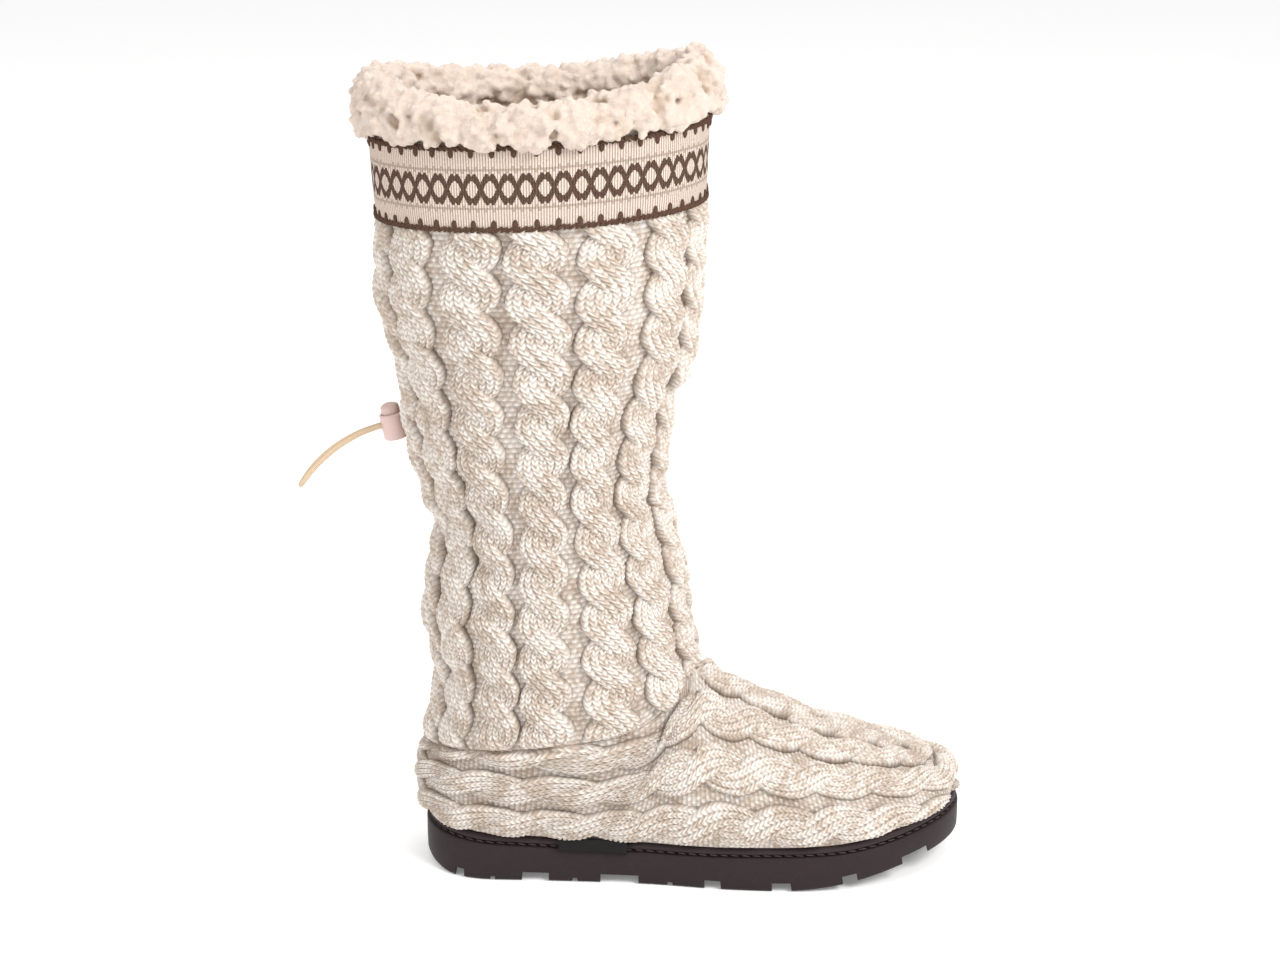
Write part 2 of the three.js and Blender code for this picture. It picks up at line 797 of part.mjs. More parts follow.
// Fleece cuff: a ring folded over the top edge of the shaft, with locks fused on
function makeCuff() {
  const bandTop = (turn) => bandBottom(turn) + bandHeight;
  const clear = seamGap + bandThickness + seatGap;
  const outside = (share) => (turn) => bandTop(turn) + share * (cuffTop(turn) - bandTop(turn));
  const lowInside = (turn) => legTop(turn) - cuffInnerDrop;
  const inward = -wall - seamGap;
  const section = [
    [seamGap, (turn) => bandTop(turn) + seatGap],
    [clear, (turn) => bandTop(turn) + seatGap],
    [0.8 * cuffBulge, outside(0.1)],
    [cuffBulge, outside(0.4)],
    [0.85 * cuffBulge, outside(0.75)],
    [0.25 * cuffBulge, cuffTop],
    [inward - 0.3 * cuffInnerThickness, (turn) => cuffTop(turn) - cuffRimDrop],
    [inward - cuffInnerThickness, (turn) => legTop(turn)],
    [inward - 0.8 * cuffInnerThickness, lowInside],
    [inward, lowInside],
    [inward, (turn) => legTop(turn) + seamGap],
    [seamGap, (turn) => legTop(turn) + seamGap],
  ];
  const fleecy = (offset) => offset > clear || offset < inward;
  const rings = section.map(([offset, heightAt], r) => {
    const lump = (i) => (fleecy(offset) ? fleeceLump * Math.cos(Math.PI * (0.5 * i + r)) : 0);
    return turns.map((turn, i) => legPoint(turn, heightAt(turn), offset + lump(i)));
  });
  let body = toManifold(ringBody(rings));
  const rows = [
    { offset: 0.92 * cuffBulge, heightAt: outside(0.35) },
    { offset: 0.9 * cuffBulge, heightAt: outside(0.7) },
    { offset: inward - 0.75 * cuffInnerThickness, heightAt: (turn) => cuffTop(turn) - cuffLockDrop },
  ];
  rows.forEach((row, r) => {
    for (let i = 0; i < locksAround; i += 1) {
      const turn = (i + r / 3) / locksAround;
      const lock = new THREE.IcosahedronGeometry(1, 0);
      lock.scale(lockWidth, lockWidth, lockLength);
      lock.rotateX(lockSway * Math.sin(7 * i + r));
      lock.rotateY(lockSway * Math.cos(5 * i + 2 * r));
      const place = legPoint(turn, row.heightAt(turn), row.offset);
      lock.translate(place.x, place.y, place.z);
      body = body.add(toManifold(lock));
    }
  });
  return fromManifold(body);
}

// Blank cloth tag, folded into the edge of the knit over the rand
function makeSideTag() {
  const count = 6;
  const sections = Array.from({ length: count + 1 }, (_, i) => {
    const at = (tagStart + (tagLength * i) / count + soleBack) / soleLength;
    const edge = edgeAt(-1, at);
    const top = randTop(at) + seatGap + tagRise;
    const corner = (out, z) => vec(edge.x, edge.y + randInset - randBulge - out, z);
    const near = seatGap + shoulderInset;
    return [
      corner(near, top - tagHeight),
      corner(near + tagThickness, top - tagHeight),
      corner(near + tagThickness, top),
      corner(near, top),
    ];
  });
  const skin = new Skin();
  for (let i = 0; i < count; i += 1) {
    sections[i].forEach((point, j) => {
      const k = (j + 1) % 4;
      skin.quad(point, sections[i][k], sections[i + 1][k], sections[i + 1][j]);
    });
  }
  skin.quad(...[...sections[0]].reverse());
  skin.quad(...sections[count]);
  return skin.geometry();
}

// The lock's own frame: its axis is Z, its cord runs along X, and 0 is the barrel's bottom
function turned(profile, segments) {
  const geometry = new THREE.LatheGeometry(profile.map(([r, z]) => new THREE.Vector2(r, z)), segments);
  geometry.rotateX(Math.PI / 2);
  return toManifold(geometry);
}

function cordSlot(low, high) {
  const width = strandSpacing + cordDiameter + 2 * cordClearance;
  const slot = new THREE.BoxGeometry(4 * barrelRadius, width, high - low);
  slot.translate(0, 0, 0.5 * (low + high));
  return toManifold(slot);
}

function makeBarrel() {
  const bore = barrelRadius - barrelWall;
  const half = 0.5 * cordDiameter + cordClearance;
  const cup = turned([
    [0, 0],
    [barrelRadius - barrelChamfer, 0],
    [barrelRadius, barrelChamfer],
    [barrelRadius, barrelHeight - rimChamfer],
    [barrelRadius - rimChamfer, barrelHeight],
    [bore, barrelHeight],
    [bore, barrelFloor],
    [0, barrelFloor],
  ], 24);
  return fromManifold(cup.subtract(cordSlot(cordLevel - half, cordLevel + half)));
}

function makePlunger() {
  const radius = barrelRadius - barrelWall - plungerClearance;
  const half = 0.5 * cordDiameter + cordClearance;
  const bottom = cordLevel - half - plungerBridge;
  const top = barrelHeight + plungerRise;
  const stem = turned([
    [0, bottom],
    [radius - stemChamfer, bottom],
    [radius, bottom + stemChamfer],
    ...domeRows.map(({ share, below }) => [share * radius, top - below]),
  ], 24);
  return fromManifold(stem.subtract(cordSlot(cordLevel - half, cordLevel + half + plungerTravel)));
}

const tiltAngle = THREE.MathUtils.degToRad(lockTilt);
const backFace = legPoint(0, lockHeight);
const lockStand = cableRelief + seatGap + barrelRadius / Math.cos(tiltAngle);

// The lock's frame in the boot: the middle of the barrel stands behind the shaft
const lockFrame = new THREE.Matrix4()
  .makeTranslation(backFace.x - lockStand, 0, lockHeight)
  .multiply(new THREE.Matrix4().makeRotationY(-tiltAngle))
  .multiply(new THREE.Matrix4().makeTranslation(0, 0, -0.5 * barrelHeight));

// Route of one strand behind the lock: distance back, drop and sideways spread
const strandRoute = [
  { back: 6.2, drop: 0, spread: 1.45 },
  { back: 11, drop: 0.5, spread: 1.6 },
  { back: 18, drop: 1.9, spread: 2.2 },
  { back: 25.5, drop: 4.6, spread: 3.1 },
  { back: 32, drop: 8, spread: 4.1 },
  { back: 38.5, drop: 12.6, spread: 4.9 },
  { back: 43.3, drop: 17.2, spread: 5.3 },
];
const loopTurn = [
  { back: 45.8, drop: 20.1, spread: 3.75 },
  { back: 46.8, drop: 21.4, spread: 0 },
];

function makeDrawCord() {
  const reach = lockStand - wallGap;
  const inLock = (x, y) => vec(x, y, cordLevel).applyMatrix4(lockFrame);
  const strand = (sign) => [
    inLock(reach, sign * 0.5 * strandSpacing),
    inLock(0.5 * reach, sign * 0.5 * strandSpacing),
    inLock(0, sign * 0.5 * strandSpacing),
    ...strandRoute.map(({ back, drop, spread }) => (
      inLock(-back, sign * spread).add(vec(0, 0, -drop))
    )),
    inLock(-loopTurn[0].back, sign * loopTurn[0].spread).add(vec(0, 0, -loopTurn[0].drop)),
  ];
  const tip = inLock(-loopTurn[1].back, loopTurn[1].spread).add(vec(0, 0, -loopTurn[1].drop));
  const points = [...strand(-1), tip, ...strand(1).reverse()];
  const section = new THREE.Shape();
  const sides = 8;
  for (let i = 0; i < sides; i += 1) {
    const angle = (2 * Math.PI * (i + 0.5)) / sides;
    const x = 0.5 * cordDiameter * Math.cos(angle);
    const y = 0.5 * cordDiameter * Math.sin(angle);
    if (i === 0) section.moveTo(x, y);
    else section.lineTo(x, y);
  }
  const route = new THREE.CatmullRomCurve3(points, false, "centripetal");
  return closedGeometry(new THREE.ExtrudeGeometry(section, { steps: 32, extrudePath: route }));
}

function piece(name, geometry, colour, roughness) {
  geometry.computeVertexNormals();
  const material = new THREE.MeshStandardMaterial({ color: colour, roughness, metalness: 0 });
  const mesh = new THREE.Mesh(geometry, material);
  mesh.name = name;
  return mesh;
}

const sole = new THREE.Group();
sole.add(piece("outsole", makeOutsole(), rubberColour, 0.55));
sole.add(piece("rand", makeRand(), randColour, 0.6));
sole.add(piece("insole", makeInsole(), insoleColour, 0.95));

const upper = new THREE.Group();
upper.add(piece("foot_upper", makeFootUpper(), knitColour, 0.95));
upper.add(piece("shaft", makeShaft(), knitColour, 0.95));
upper.add(piece("band", makeBand(), bandColour, 0.9));
upper.add(piece("cuff", makeCuff(), fleeceColour, 1));
upper.add(piece("side_tag", makeSideTag(), tagColour, 0.7));

const cordLock = new THREE.Group();
cordLock.applyMatrix4(lockFrame);
cordLock.add(piece("cord_lock_barrel", makeBarrel(), lockColour, 0.35));
cordLock.add(piece("cord_lock_plunger", makePlunger(), plungerColour, 0.4));

const boot = new THREE.Group();
boot.add(sole, upper, cordLock);
boot.add(piece("draw_cord", makeDrawCord(), cordColour, 0.8));

export default boot;
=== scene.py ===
"""Mukluk boot: knit, fleece, band, cord and sole of one right boot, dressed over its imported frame."""

import math

import bmesh
import bpy
import numpy as np
from bpy.props import FloatProperty, FloatVectorProperty, IntProperty, PointerProperty
from mathutils import Matrix, Vector
from mathutils.bvhtree import BVHTree


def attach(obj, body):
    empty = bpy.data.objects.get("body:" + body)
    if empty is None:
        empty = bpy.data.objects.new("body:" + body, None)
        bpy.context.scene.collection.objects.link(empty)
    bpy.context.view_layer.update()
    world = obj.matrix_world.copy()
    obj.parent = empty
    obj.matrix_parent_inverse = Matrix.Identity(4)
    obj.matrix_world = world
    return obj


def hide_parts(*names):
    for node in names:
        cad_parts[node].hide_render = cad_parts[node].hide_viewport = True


bl_info = {
    "name": "Mukluk boot",
    "version": (1, 0, 0),
    "blender": (4, 5, 0),
    "location": "3D View > Sidebar > Boot",
    "description": "Knit, fleece, woven band, cord and rubber sole of a mukluk boot",
    "category": "Add Mesh",
}

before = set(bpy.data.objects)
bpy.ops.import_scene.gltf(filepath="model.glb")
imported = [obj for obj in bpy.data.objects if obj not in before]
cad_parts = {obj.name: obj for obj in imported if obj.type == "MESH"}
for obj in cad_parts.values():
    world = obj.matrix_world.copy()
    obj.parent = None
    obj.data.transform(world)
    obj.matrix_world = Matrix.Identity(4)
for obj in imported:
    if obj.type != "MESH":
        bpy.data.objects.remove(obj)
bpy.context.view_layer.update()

TURN = 2 * math.pi
MM = 0.001

# Sole, as in the part's source
SOLE_LENGTH = 0.268
SOLE_BACK = 0.036
HEEL_WIDTH = 0.074
WAIST_WIDTH = 0.076
BALL_WIDTH = 0.1
HEEL_CAP = 0.037
TOE_CAP = 0.066
CAP_ROUND = 2.2
HEEL_STACK = 0.023
TOE_SPRING = 0.012
SPRING_START = 0.138
BEVEL_LIFT = 0.004
BEVEL_LENGTH = 0.015
LUG_DEPTH = 0.005
CHANNEL_WIDTH = 0.004
CHANNEL_OFFSET = 0.013
CHANNEL_DEPTH = 0.0035

# Rand and upper, as in the part's source
RAND_HEIGHT = 0.0044
RAND_INSET = 0.0012
RAND_LEAN = 0.0015
RAND_THICKNESS = 0.0044
WALL = 0.004
SEAT_GAP = 0.0003
SEAM_GAP = 0.0004
LEG_AXIS = 0.025
LEG_HEIGHT = 0.38
COLLAR_DEPTH = 0.15
COLLAR_WIDTH = 0.112
ANKLE_HEIGHT = 0.103
CABLE_COUNT = 14
CABLE_TURN = 0.02
FOOT_CABLE_TURN = 0.028
FOOT_CABLES = 3.5
HEEL_CABLES = 2.4
TOE_CABLES = 2.7
INSOLE_THICKNESS = 0.004
INSTEP_LEAN = 1.15
CORNER = 0.5
SEAM_STATIONS = 14

# Band, cuff and tag, as in the part's source
BAND_HEIGHT = 0.0385
BAND_LOW = 0.328
BAND_RISE = 0.0085
BAND_THICKNESS = 0.0024
COLLAR_BARE = 0.008
CUFF_BULGE = 0.0078
CUFF_RISE = 0.0125
CUFF_INNER_DROP = 0.024
CUFF_INNER_THICKNESS = 0.007
CUFF_WAVE = 0.0065
TAG_LENGTH = 0.034
TAG_START = 0.031
TAG_HEIGHT = 0.008
TAG_RISE = 0.0018
SHOULDER_INSET = 0.0011

# Cord lock and draw cord, as in the part's source
CORD_DIAMETER = 0.0025
STRAND_SPACING = 0.0029
CORD_CLEARANCE = 0.0003
CABLE_RELIEF = 0.003
LOCK_HEIGHT = 0.224
LOCK_TILT = math.radians(12)
BARREL_RADIUS = 0.006
BARREL_HEIGHT = 0.013
BARREL_WALL = 0.00115
BARREL_FLOOR = 0.0012
CORD_LEVEL = 0.0075
PLUNGER_CLEARANCE = 0.0003
PLUNGER_RISE = 0.005
PLUNGER_TRAVEL = 0.003
PLUNGER_BRIDGE = 0.0012
WALL_GAP = 0.0013

# Share of the sole's length, half width and sideways shift
OUTLINE_ROWS = (
    (0.0, 0.5 * HEEL_WIDTH, 0),
    (0.14, 0.5 * HEEL_WIDTH, 0),
    (0.4, 0.5 * WAIST_WIDTH, -0.035 * BALL_WIDTH),
    (0.57, 0.445 * BALL_WIDTH, -0.04 * BALL_WIDTH),
    (0.74, 0.495 * BALL_WIDTH, -0.008 * BALL_WIDTH),
    (0.88, 0.475 * BALL_WIDTH, 0.03 * BALL_WIDTH),
    (1.0, 0.44 * BALL_WIDTH, 0.085 * BALL_WIDTH),
)

# Share of the sole's length, height of its top and of the rand as shares
STACK_ROWS = (
    (0.0, 1.0, 1.09),
    (0.13, 0.84, 1.02),
    (0.45, 0.74, 0.93),
    (0.57, 0.765, 0.9),
    (0.77, 0.86, 0.95),
    (0.94, 1.13, 1.14),
    (1.0, 1.2, 1.18),
)

# Gaps between the lugs: middle, width and depth
LUG_ROWS = (
    (0.067, 0.016, 1),
    (0.128, 0.009, 0.5),
    (0.207, 0.05, 1),
    (0.28, 0.009, 0.5),
    (0.362, 0.07, 1),
    (0.455, 0.009, 0.5),
    (0.533, 0.03, 1),
    (0.659, 0.036, 1),
    (0.785, 0.027, 1),
    (0.908, 0.05, 1),
)

# Leg sections: height share, reach back, reach forward and half width
LEG_ROWS = (
    (0.13, 0.83, 1.08, 0.7),
    (0.2, 0.74, 1.04, 0.71),
    (0.255, 0.69, 1.0, 0.735),
    (0.31, 0.711, 0.93, 0.75),
    (0.34, 0.747, 0.903, 0.755),
    (0.395, 0.722, 0.873, 0.765),
    (0.45, 0.68, 0.797, 0.77),
    (0.485, 0.683, 0.767, 0.775),
    (0.53, 0.76, 0.715, 0.8),
    (0.58, 0.831, 0.757, 0.84),
    (0.635, 0.873, 0.8, 0.88),
    (0.685, 0.893, 0.907, 0.92),
    (0.76, 1.0, 0.96, 0.96),
    (0.84, 0.995, 0.985, 0.984),
    (0.9, 1.015, 0.997, 0.99),
    (0.95, 1.031, 1.007, 0.995),
    (1.0, 1.048, 1.017, 1.0),
)

# Ankle seam: turn from the heel and its height share
SEAM_ROWS = (
    (0.0, 0.585),
    (0.12, 0.64),
    (0.25, 0.695),
    (0.34, 0.745),
    (0.38, 0.81),
    (0.42, 0.9),
    (0.46, 0.975),
    (0.5, 1.0),
)

# Instep ridge: place along the edge, share of the sole's length, height share and shift
RIDGE_ROWS = (
    (0.5, 0.4944, 1.0, 0),
    (0.56, 0.545, 0.9, 0),
    (0.64, 0.623, 0.789, 0),
    (0.74, 0.72, 0.657, 0.005),
    (0.84, 0.806, 0.588, 0.015),
    (0.92, 0.852, 0.545, 0.025),
    (1.0, 0.872, 0.527, 0.035),
)

# Soft creases of the leg: turn, height, half length round the leg, half width, depth and tilt
CREASES = (
    (0.04, 0.178, 0.05, 0.006, 0.0030, 0.10),
    (0.16, 0.166, 0.05, 0.005, 0.0018, -0.12),
    (0.42, 0.186, 0.07, 0.006, 0.0030, 0.16),
    (0.36, 0.160, 0.05, 0.005, 0.0018, -0.10),
    (0.10, 0.108, 0.05, 0.006, 0.0020, 0.14),
    (0.46, 0.140, 0.05, 0.006, 0.0022, 0.05),
    (0.47, 0.246, 0.05, 0.006, 0.0024, 0.10),
    (0.06, 0.246, 0.06, 0.007, 0.0016, -0.10),
    (0.60, 0.180, 0.08, 0.006, 0.0026, -0.12),
    (0.80, 0.164, 0.07, 0.006, 0.0022, 0.10),
    (0.93, 0.182, 0.05, 0.006, 0.0026, -0.06),
    (0.70, 0.118, 0.06, 0.007, 0.0018, 0.08),
)

# Route of one strand of the draw cord behind the lock: back, drop and sideways spread
STRAND_ROUTE = (
    (0.0062, 0.0, 0.00145),
    (0.011, 0.0005, 0.0016),
    (0.018, 0.0019, 0.0022),
    (0.0255, 0.0046, 0.0031),
    (0.032, 0.008, 0.0041),
    (0.0385, 0.0126, 0.0049),
    (0.0433, 0.0172, 0.0053),
    (0.0458, 0.0201, 0.00375),
)
LOOP_TIP = (0.0468, 0.0214)

# Share of its own girth in which the ends of a squeezed strand are kept apart
SQUEEZE = 0.01


def smooth_step(low, high, value):
    """0 below low, 1 above high and a smooth rise between them."""
    t = np.clip((np.asarray(value, float) - low) / (high - low), 0, 1)
    return t * t * (3 - 2 * t)


def squeezed(share):
    """Squeezes a share into 0 to 1 near its ends, so that no two rows of a mesh fall together."""
    past = np.maximum(share - 1 + SQUEEZE, 0)
    under = np.maximum(SQUEEZE - share, 0)
    high = 1 - SQUEEZE + SQUEEZE * past / (past + SQUEEZE)
    low = SQUEEZE - SQUEEZE * under / (under + SQUEEZE)
    return np.where(past > 0, high, np.where(under > 0, low, share))


def row_value(rows, column, at):
    """A smooth value read from a table, with the slope of each row's two neighbours."""
    table = np.array(rows, float)
    places, values = table[:, 0], table[:, column]
    last = len(places) - 1
    order = np.arange(last + 1)
    before, after = np.maximum(order - 1, 0), np.minimum(order + 1, last)
    slopes = (values[after] - values[before]) / (places[after] - places[before])
    at = np.asarray(at, float)
    i = np.clip(np.searchsorted(places, at, side="right") - 1, 0, last - 1)
    span = places[i + 1] - places[i]
    t = np.clip((at - places[i]) / span, 0, 1)
    t2, t3 = t * t, t * t * t
    return (
        (2 * t3 - 3 * t2 + 1) * values[i]
        + (t3 - 2 * t2 + t) * slopes[i] * span
        + (3 * t2 - 2 * t3) * values[i + 1]
        + (t3 - t2) * slopes[i + 1] * span
    )


def unit(vectors):
    return vectors / np.maximum(np.linalg.norm(vectors, axis=-1, keepdims=True), 1e-12)


def points(*parts):
    return np.stack(np.broadcast_arrays(*[np.asarray(p, float) for p in parts]), axis=-1)


def run_lengths(path):
    """Length along a path at each of its points."""
    steps = np.linalg.norm(np.diff(path, axis=0), axis=1)
    return np.concatenate([[0], np.cumsum(steps)])


# Outline of the sole


def edge_at(side, at):
    """One side's edge of the sole, flat, at a share of the sole's length."""
    run = np.asarray(at, float) * SOLE_LENGTH

    def cap(length):
        t = np.clip(length, 0, 1)
        return np.power(1 - np.power(1 - t, CAP_ROUND), 1 / CAP_ROUND)

    ends = cap(run / HEEL_CAP) * cap((SOLE_LENGTH - run) / TOE_CAP)
    half = row_value(OUTLINE_ROWS, 1, at) * ends
    return points(run - SOLE_BACK, row_value(OUTLINE_ROWS, 2, at) + side * half)


class Edge:
    """One side's edge measured along itself."""

    STATIONS = 400
    REACH = 0.004

    def __init__(self, side):
        self.side = side
        turns = np.arange(self.STATIONS + 1) / self.STATIONS
        self.places = edge_at(side, 0.5 - 0.5 * np.cos(math.pi * turns))
        self.lengths = run_lengths(self.places)
        self.total = self.lengths[-1]

    def locate(self, share):
        goal = np.clip(share, 0, 1) * self.total
        return points(*[np.interp(goal, self.lengths, self.places[:, k]) for k in (0, 1)])

    def point(self, share, inset):
        share = np.asarray(share, float)
        along = unit(self.locate(share + self.REACH) - self.locate(share - self.REACH))
        along = np.where((share <= 0)[..., None], (0, self.side), along)
        along = np.where((share >= 1)[..., None], (0, -self.side), along)
        inward = np.stack([-along[..., 1], along[..., 0]], axis=-1) * -self.side
        return self.locate(share) + inward * np.asarray(inset, float)[..., None]


EDGES = {-1: Edge(-1), 1: Edge(1)}
WALK = EDGES[-1].total


def sole_share(place):
    return np.clip((place[..., 0] + SOLE_BACK) / SOLE_LENGTH, 0, 1)


def sole_top(at):
    return HEEL_STACK * row_value(STACK_ROWS, 1, at)


def rand_top(at):
    return sole_top(at) + SEAT_GAP + RAND_HEIGHT * row_value(STACK_ROWS, 2, at)


def sole_bottom(at):
    run = np.asarray(at, float) * SOLE_LENGTH
    spring = smooth_step(SPRING_START, SOLE_LENGTH - SOLE_BACK, run - SOLE_BACK)
    bevel = np.maximum(0, 1 - run / BEVEL_LENGTH)
    return TOE_SPRING * spring + BEVEL_LIFT * bevel * bevel


def sole_rim(column, half_count, inset):
    """The sole's rim round the lateral side to the toe and back, its share and its centre line."""
    column = np.asarray(column) % (2 * half_count)
    side = np.where(column <= half_count, -1, 1)
    place = np.where(column <= half_count, column, 2 * half_count - column) / half_count
    at = 0.5 - 0.5 * np.cos(math.pi * place)
    step = 1e-4

    def near(shift):
        moved = np.clip(at + shift, 0, 1)
        return np.where((side < 0)[:, None], edge_at(-1, moved), edge_at(1, moved))

    flat = near(0)
    along = unit(near(step) - near(-step))
    along = np.where((at < step)[:, None], np.stack([0 * side, side], 1), along)
    along = np.where((at > 1 - step)[:, None], np.stack([0 * side, -side], 1), along)
    inward = np.stack([-along[:, 1], along[:, 0]], 1) * -side[:, None]
    centre = row_value(OUTLINE_ROWS, 2, at)
    rim = flat + inward * np.asarray(inset)[..., None]
    crossed = (rim[:, 1] - centre) * side < 0
    rim[:, 1] = np.where(crossed, centre, rim[:, 1])
    return rim, at, centre


# Surface of the leg


SWELL = 0.0005
SLACK_MARGIN = 0.02


def leg_point(turn, height, offset=0.0):
    """A point of the leg at a turn from the heel, a height and an offset outwards."""
    angle = TURN * np.asarray(turn, float)
    at = np.asarray(height, float) / LEG_HEIGHT
    forward = -np.cos(angle)
    reach = np.where(forward < 0, row_value(LEG_ROWS, 1, at), row_value(LEG_ROWS, 2, at))
    reach = 0.5 * COLLAR_DEPTH * reach + offset
    half = 0.5 * COLLAR_WIDTH * row_value(LEG_ROWS, 3, at) + offset
    return points(LEG_AXIS + reach * forward, -half * np.sin(angle), height)


def leg_normal(turn, height):
    along = leg_point(turn + 0.004, height) - leg_point(turn - 0.004, height)
    up = leg_point(turn, height + 0.002) - leg_point(turn, height - 0.002)
    return unit(np.cross(along, up))


def leg_slack(turn, height):
    """Soft creases and small swells of the knit, away from the seam and the band."""
    angle = turn * TURN
    total = SWELL * np.sin(93 * height + 9 * angle) * np.sin(5 * angle + 60 * height)
    for place, level, length, width, depth, tilt in CREASES:
        away = (turn - place + 0.5) % 1 - 0.5
        across = height - level - tilt * away
        trough = np.exp(-((away / length) ** 2) - (across / width) ** 2)
        ridge = np.exp(-((away / length) ** 2) - ((across - 2 * width) / (1.3 * width)) ** 2)
        total = total + depth * (0.5 * ridge - trough)
    over_seam = smooth_step(0, SLACK_MARGIN, height - seam_height(turn))
    return total * over_seam * smooth_step(0, SLACK_MARGIN, band_bottom(turn) - height)


def leg_surface(turn, height, lift):
    lift = np.asarray(lift) + leg_slack(turn, height)
    return leg_point(turn, height) + leg_normal(turn, height) * lift[..., None]


def seam_height(turn):
    folded = np.abs((np.asarray(turn, float) + 0.5) % 1 - 0.5)
    knots = np.linspace(0, 0.5, SEAM_STATIONS + 1)
    return ANKLE_HEIGHT * np.interp(folded, knots, row_value(SEAM_ROWS, 1, knots))


def band_bottom(turn):
    return BAND_LOW + BAND_RISE * 0.5 * (1 - np.cos(TURN * np.asarray(turn, float)))


def leg_top(turn):
    return band_bottom(turn) + BAND_HEIGHT + COLLAR_BARE


def cuff_top(turn):
    return leg_top(turn) + CUFF_RISE + CUFF_WAVE * np.cos(2 * TURN * np.asarray(turn, float))


# Surface of the foot


PEAK_END = 0.64


def top_line(side, share):
    """The foot's top line on one side: the ankle seam, then the instep's ridge."""
    turn = np.where(side < 0, share, 1 - share)
    seam = leg_point(turn, seam_height(turn) - SEAM_GAP / 2)
    corner = leg_point(0.5, ANKLE_HEIGHT - SEAM_GAP / 2)
    start = RIDGE_ROWS[0][1] * SOLE_LENGTH - SOLE_BACK
    x = row_value(RIDGE_ROWS, 1, share) * SOLE_LENGTH - SOLE_BACK
    x = x + (corner[0] - start) * (1 - smooth_step(CORNER, PEAK_END, share))
    ridge = points(
        x,
        row_value(RIDGE_ROWS, 3, share) * BALL_WIDTH,
        ANKLE_HEIGHT * row_value(RIDGE_ROWS, 2, share) - SEAM_GAP / 2,
    )
    return np.where((share < CORNER)[:, None], seam, ridge)


def top_direction(side, share):
    """Direction in which the foot's surface arrives at its top line."""
    turn = np.where(side < 0, share, 1 - share)
    height = seam_height(turn)
    up = unit(leg_point(turn, height + MM) - leg_point(turn, height - MM))
    step = -0.002 * side
    forward = unit(leg_point(turn + step, height) - leg_point(turn - step, height))
    lean = (INSTEP_LEAN * smooth_step(0.36, CORNER, share))[:, None]
    seam = unit(up * np.cos(lean) + forward * np.sin(lean))
    ahead = top_line(side, np.minimum(1, share + 0.01))
    ridge = unit(ahead - top_line(side, np.maximum(share - 0.001, CORNER)))
    swing = 0.5 * math.pi * smooth_step(0.72, 1, share)
    peak = (0.5 * math.pi - INSTEP_LEAN) * (1 - smooth_step(CORNER, PEAK_END, share))
    over = points(0, -side * np.cos(swing), np.sin(peak))
    over = unit(over - ridge * np.sin(swing)[:, None])
    return np.where((share < CORNER)[:, None], seam, over)


def girth_curves(side, share, count):
    """Curves from the rand up to the top line, spaced evenly along themselves."""
    edge = EDGES[side]
    flat = edge.point(share, np.zeros_like(share))
    base_flat = edge.point(share, np.full_like(share, RAND_INSET + RAND_LEAN))
    at = sole_share(flat)
    base = points(base_flat[:, 0], base_flat[:, 1], rand_top(at) + SEAT_GAP)
    out = unit(edge.point(share, np.full_like(share, -MM)) - flat)
    top = top_line(side, share)
    rise = top[:, 2] - base[:, 2]
    level = np.linalg.norm(top[:, :2] - base[:, :2], axis=1)
    arch = smooth_step(0.3, CORNER, share)
    lean = 0.6 - 0.2 * smooth_step(0.04, 0.2, share) - 0.12 * smooth_step(0.6, 0.9, share)
    leave = unit(points(out[:, 0] * lean, out[:, 1] * lean, 1.0)) * (rise * (1 + 0.6 * arch))[:, None]
    arrive = top_direction(side, share) * ((1 - arch) * rise + arch * 1.62 * level)[:, None]
    t = np.linspace(0, 1, 121)[None, :, None]
    fine = (
        base[:, None] * (2 * t**3 - 3 * t**2 + 1)
        + leave[:, None] * (t**3 - 2 * t**2 + t)
        + top[:, None] * (3 * t**2 - 2 * t**3)
        + arrive[:, None] * (t**3 - t**2)
    )
    result = np.empty((len(share), count + 1, 3))
    for k, curve in enumerate(fine):
        lengths = run_lengths(curve)
        goal = np.linspace(0, lengths[-1], count + 1)
        for axis in range(3):
            result[k, :, axis] = np.interp(goal, lengths, curve[:, axis])
    return result


class FootSurface:
    """The foot's smooth surface, by walk (-1 inner toe, 0 heel, 1 outer toe) and girth."""

    SHARES = 200
    GIRTHS = 80

    def __init__(self):
        share = np.linspace(0, 1, self.SHARES + 1)
        outer = girth_curves(-1, share, self.GIRTHS)
        inner = girth_curves(1, share, self.GIRTHS)
        self.places = np.concatenate([inner[:0:-1], outer])
        padded = np.concatenate([self.places[-3:-1], self.places, self.places[1:3]])
        along = padded[3:-1] - padded[1:-3]
        up = np.gradient(self.places, axis=1)
        self.normals = unit(np.cross(along, up))
        mirror = self.normals[::-1]
        ridge = np.abs(np.linspace(-1, 1, 2 * self.SHARES + 1)) >= CORNER
        top = unit(self.normals[:, -1] + mirror[:, -1])
        self.normals[ridge, -1] = top[ridge]

    def _read(self, grid, walk, girth):
        x = np.clip((walk + 1) * self.SHARES, 0, 2 * self.SHARES - 1e-9)
        y = np.clip(girth * self.GIRTHS, 0, self.GIRTHS - 1e-9)
        i, j = x.astype(int), y.astype(int)
        s, t = (x - i)[:, None], (y - j)[:, None]
        return (grid[i, j] * (1 - s) + grid[i + 1, j] * s) * (1 - t) + (
            grid[i, j + 1] * (1 - s) + grid[i + 1, j + 1] * s
        ) * t

    def place(self, walk, girth, lift):
        normal = unit(self._read(self.normals, walk, girth))
        return self._read(self.places, walk, girth) + normal * np.asarray(lift)[..., None]


FOOT = FootSurface()


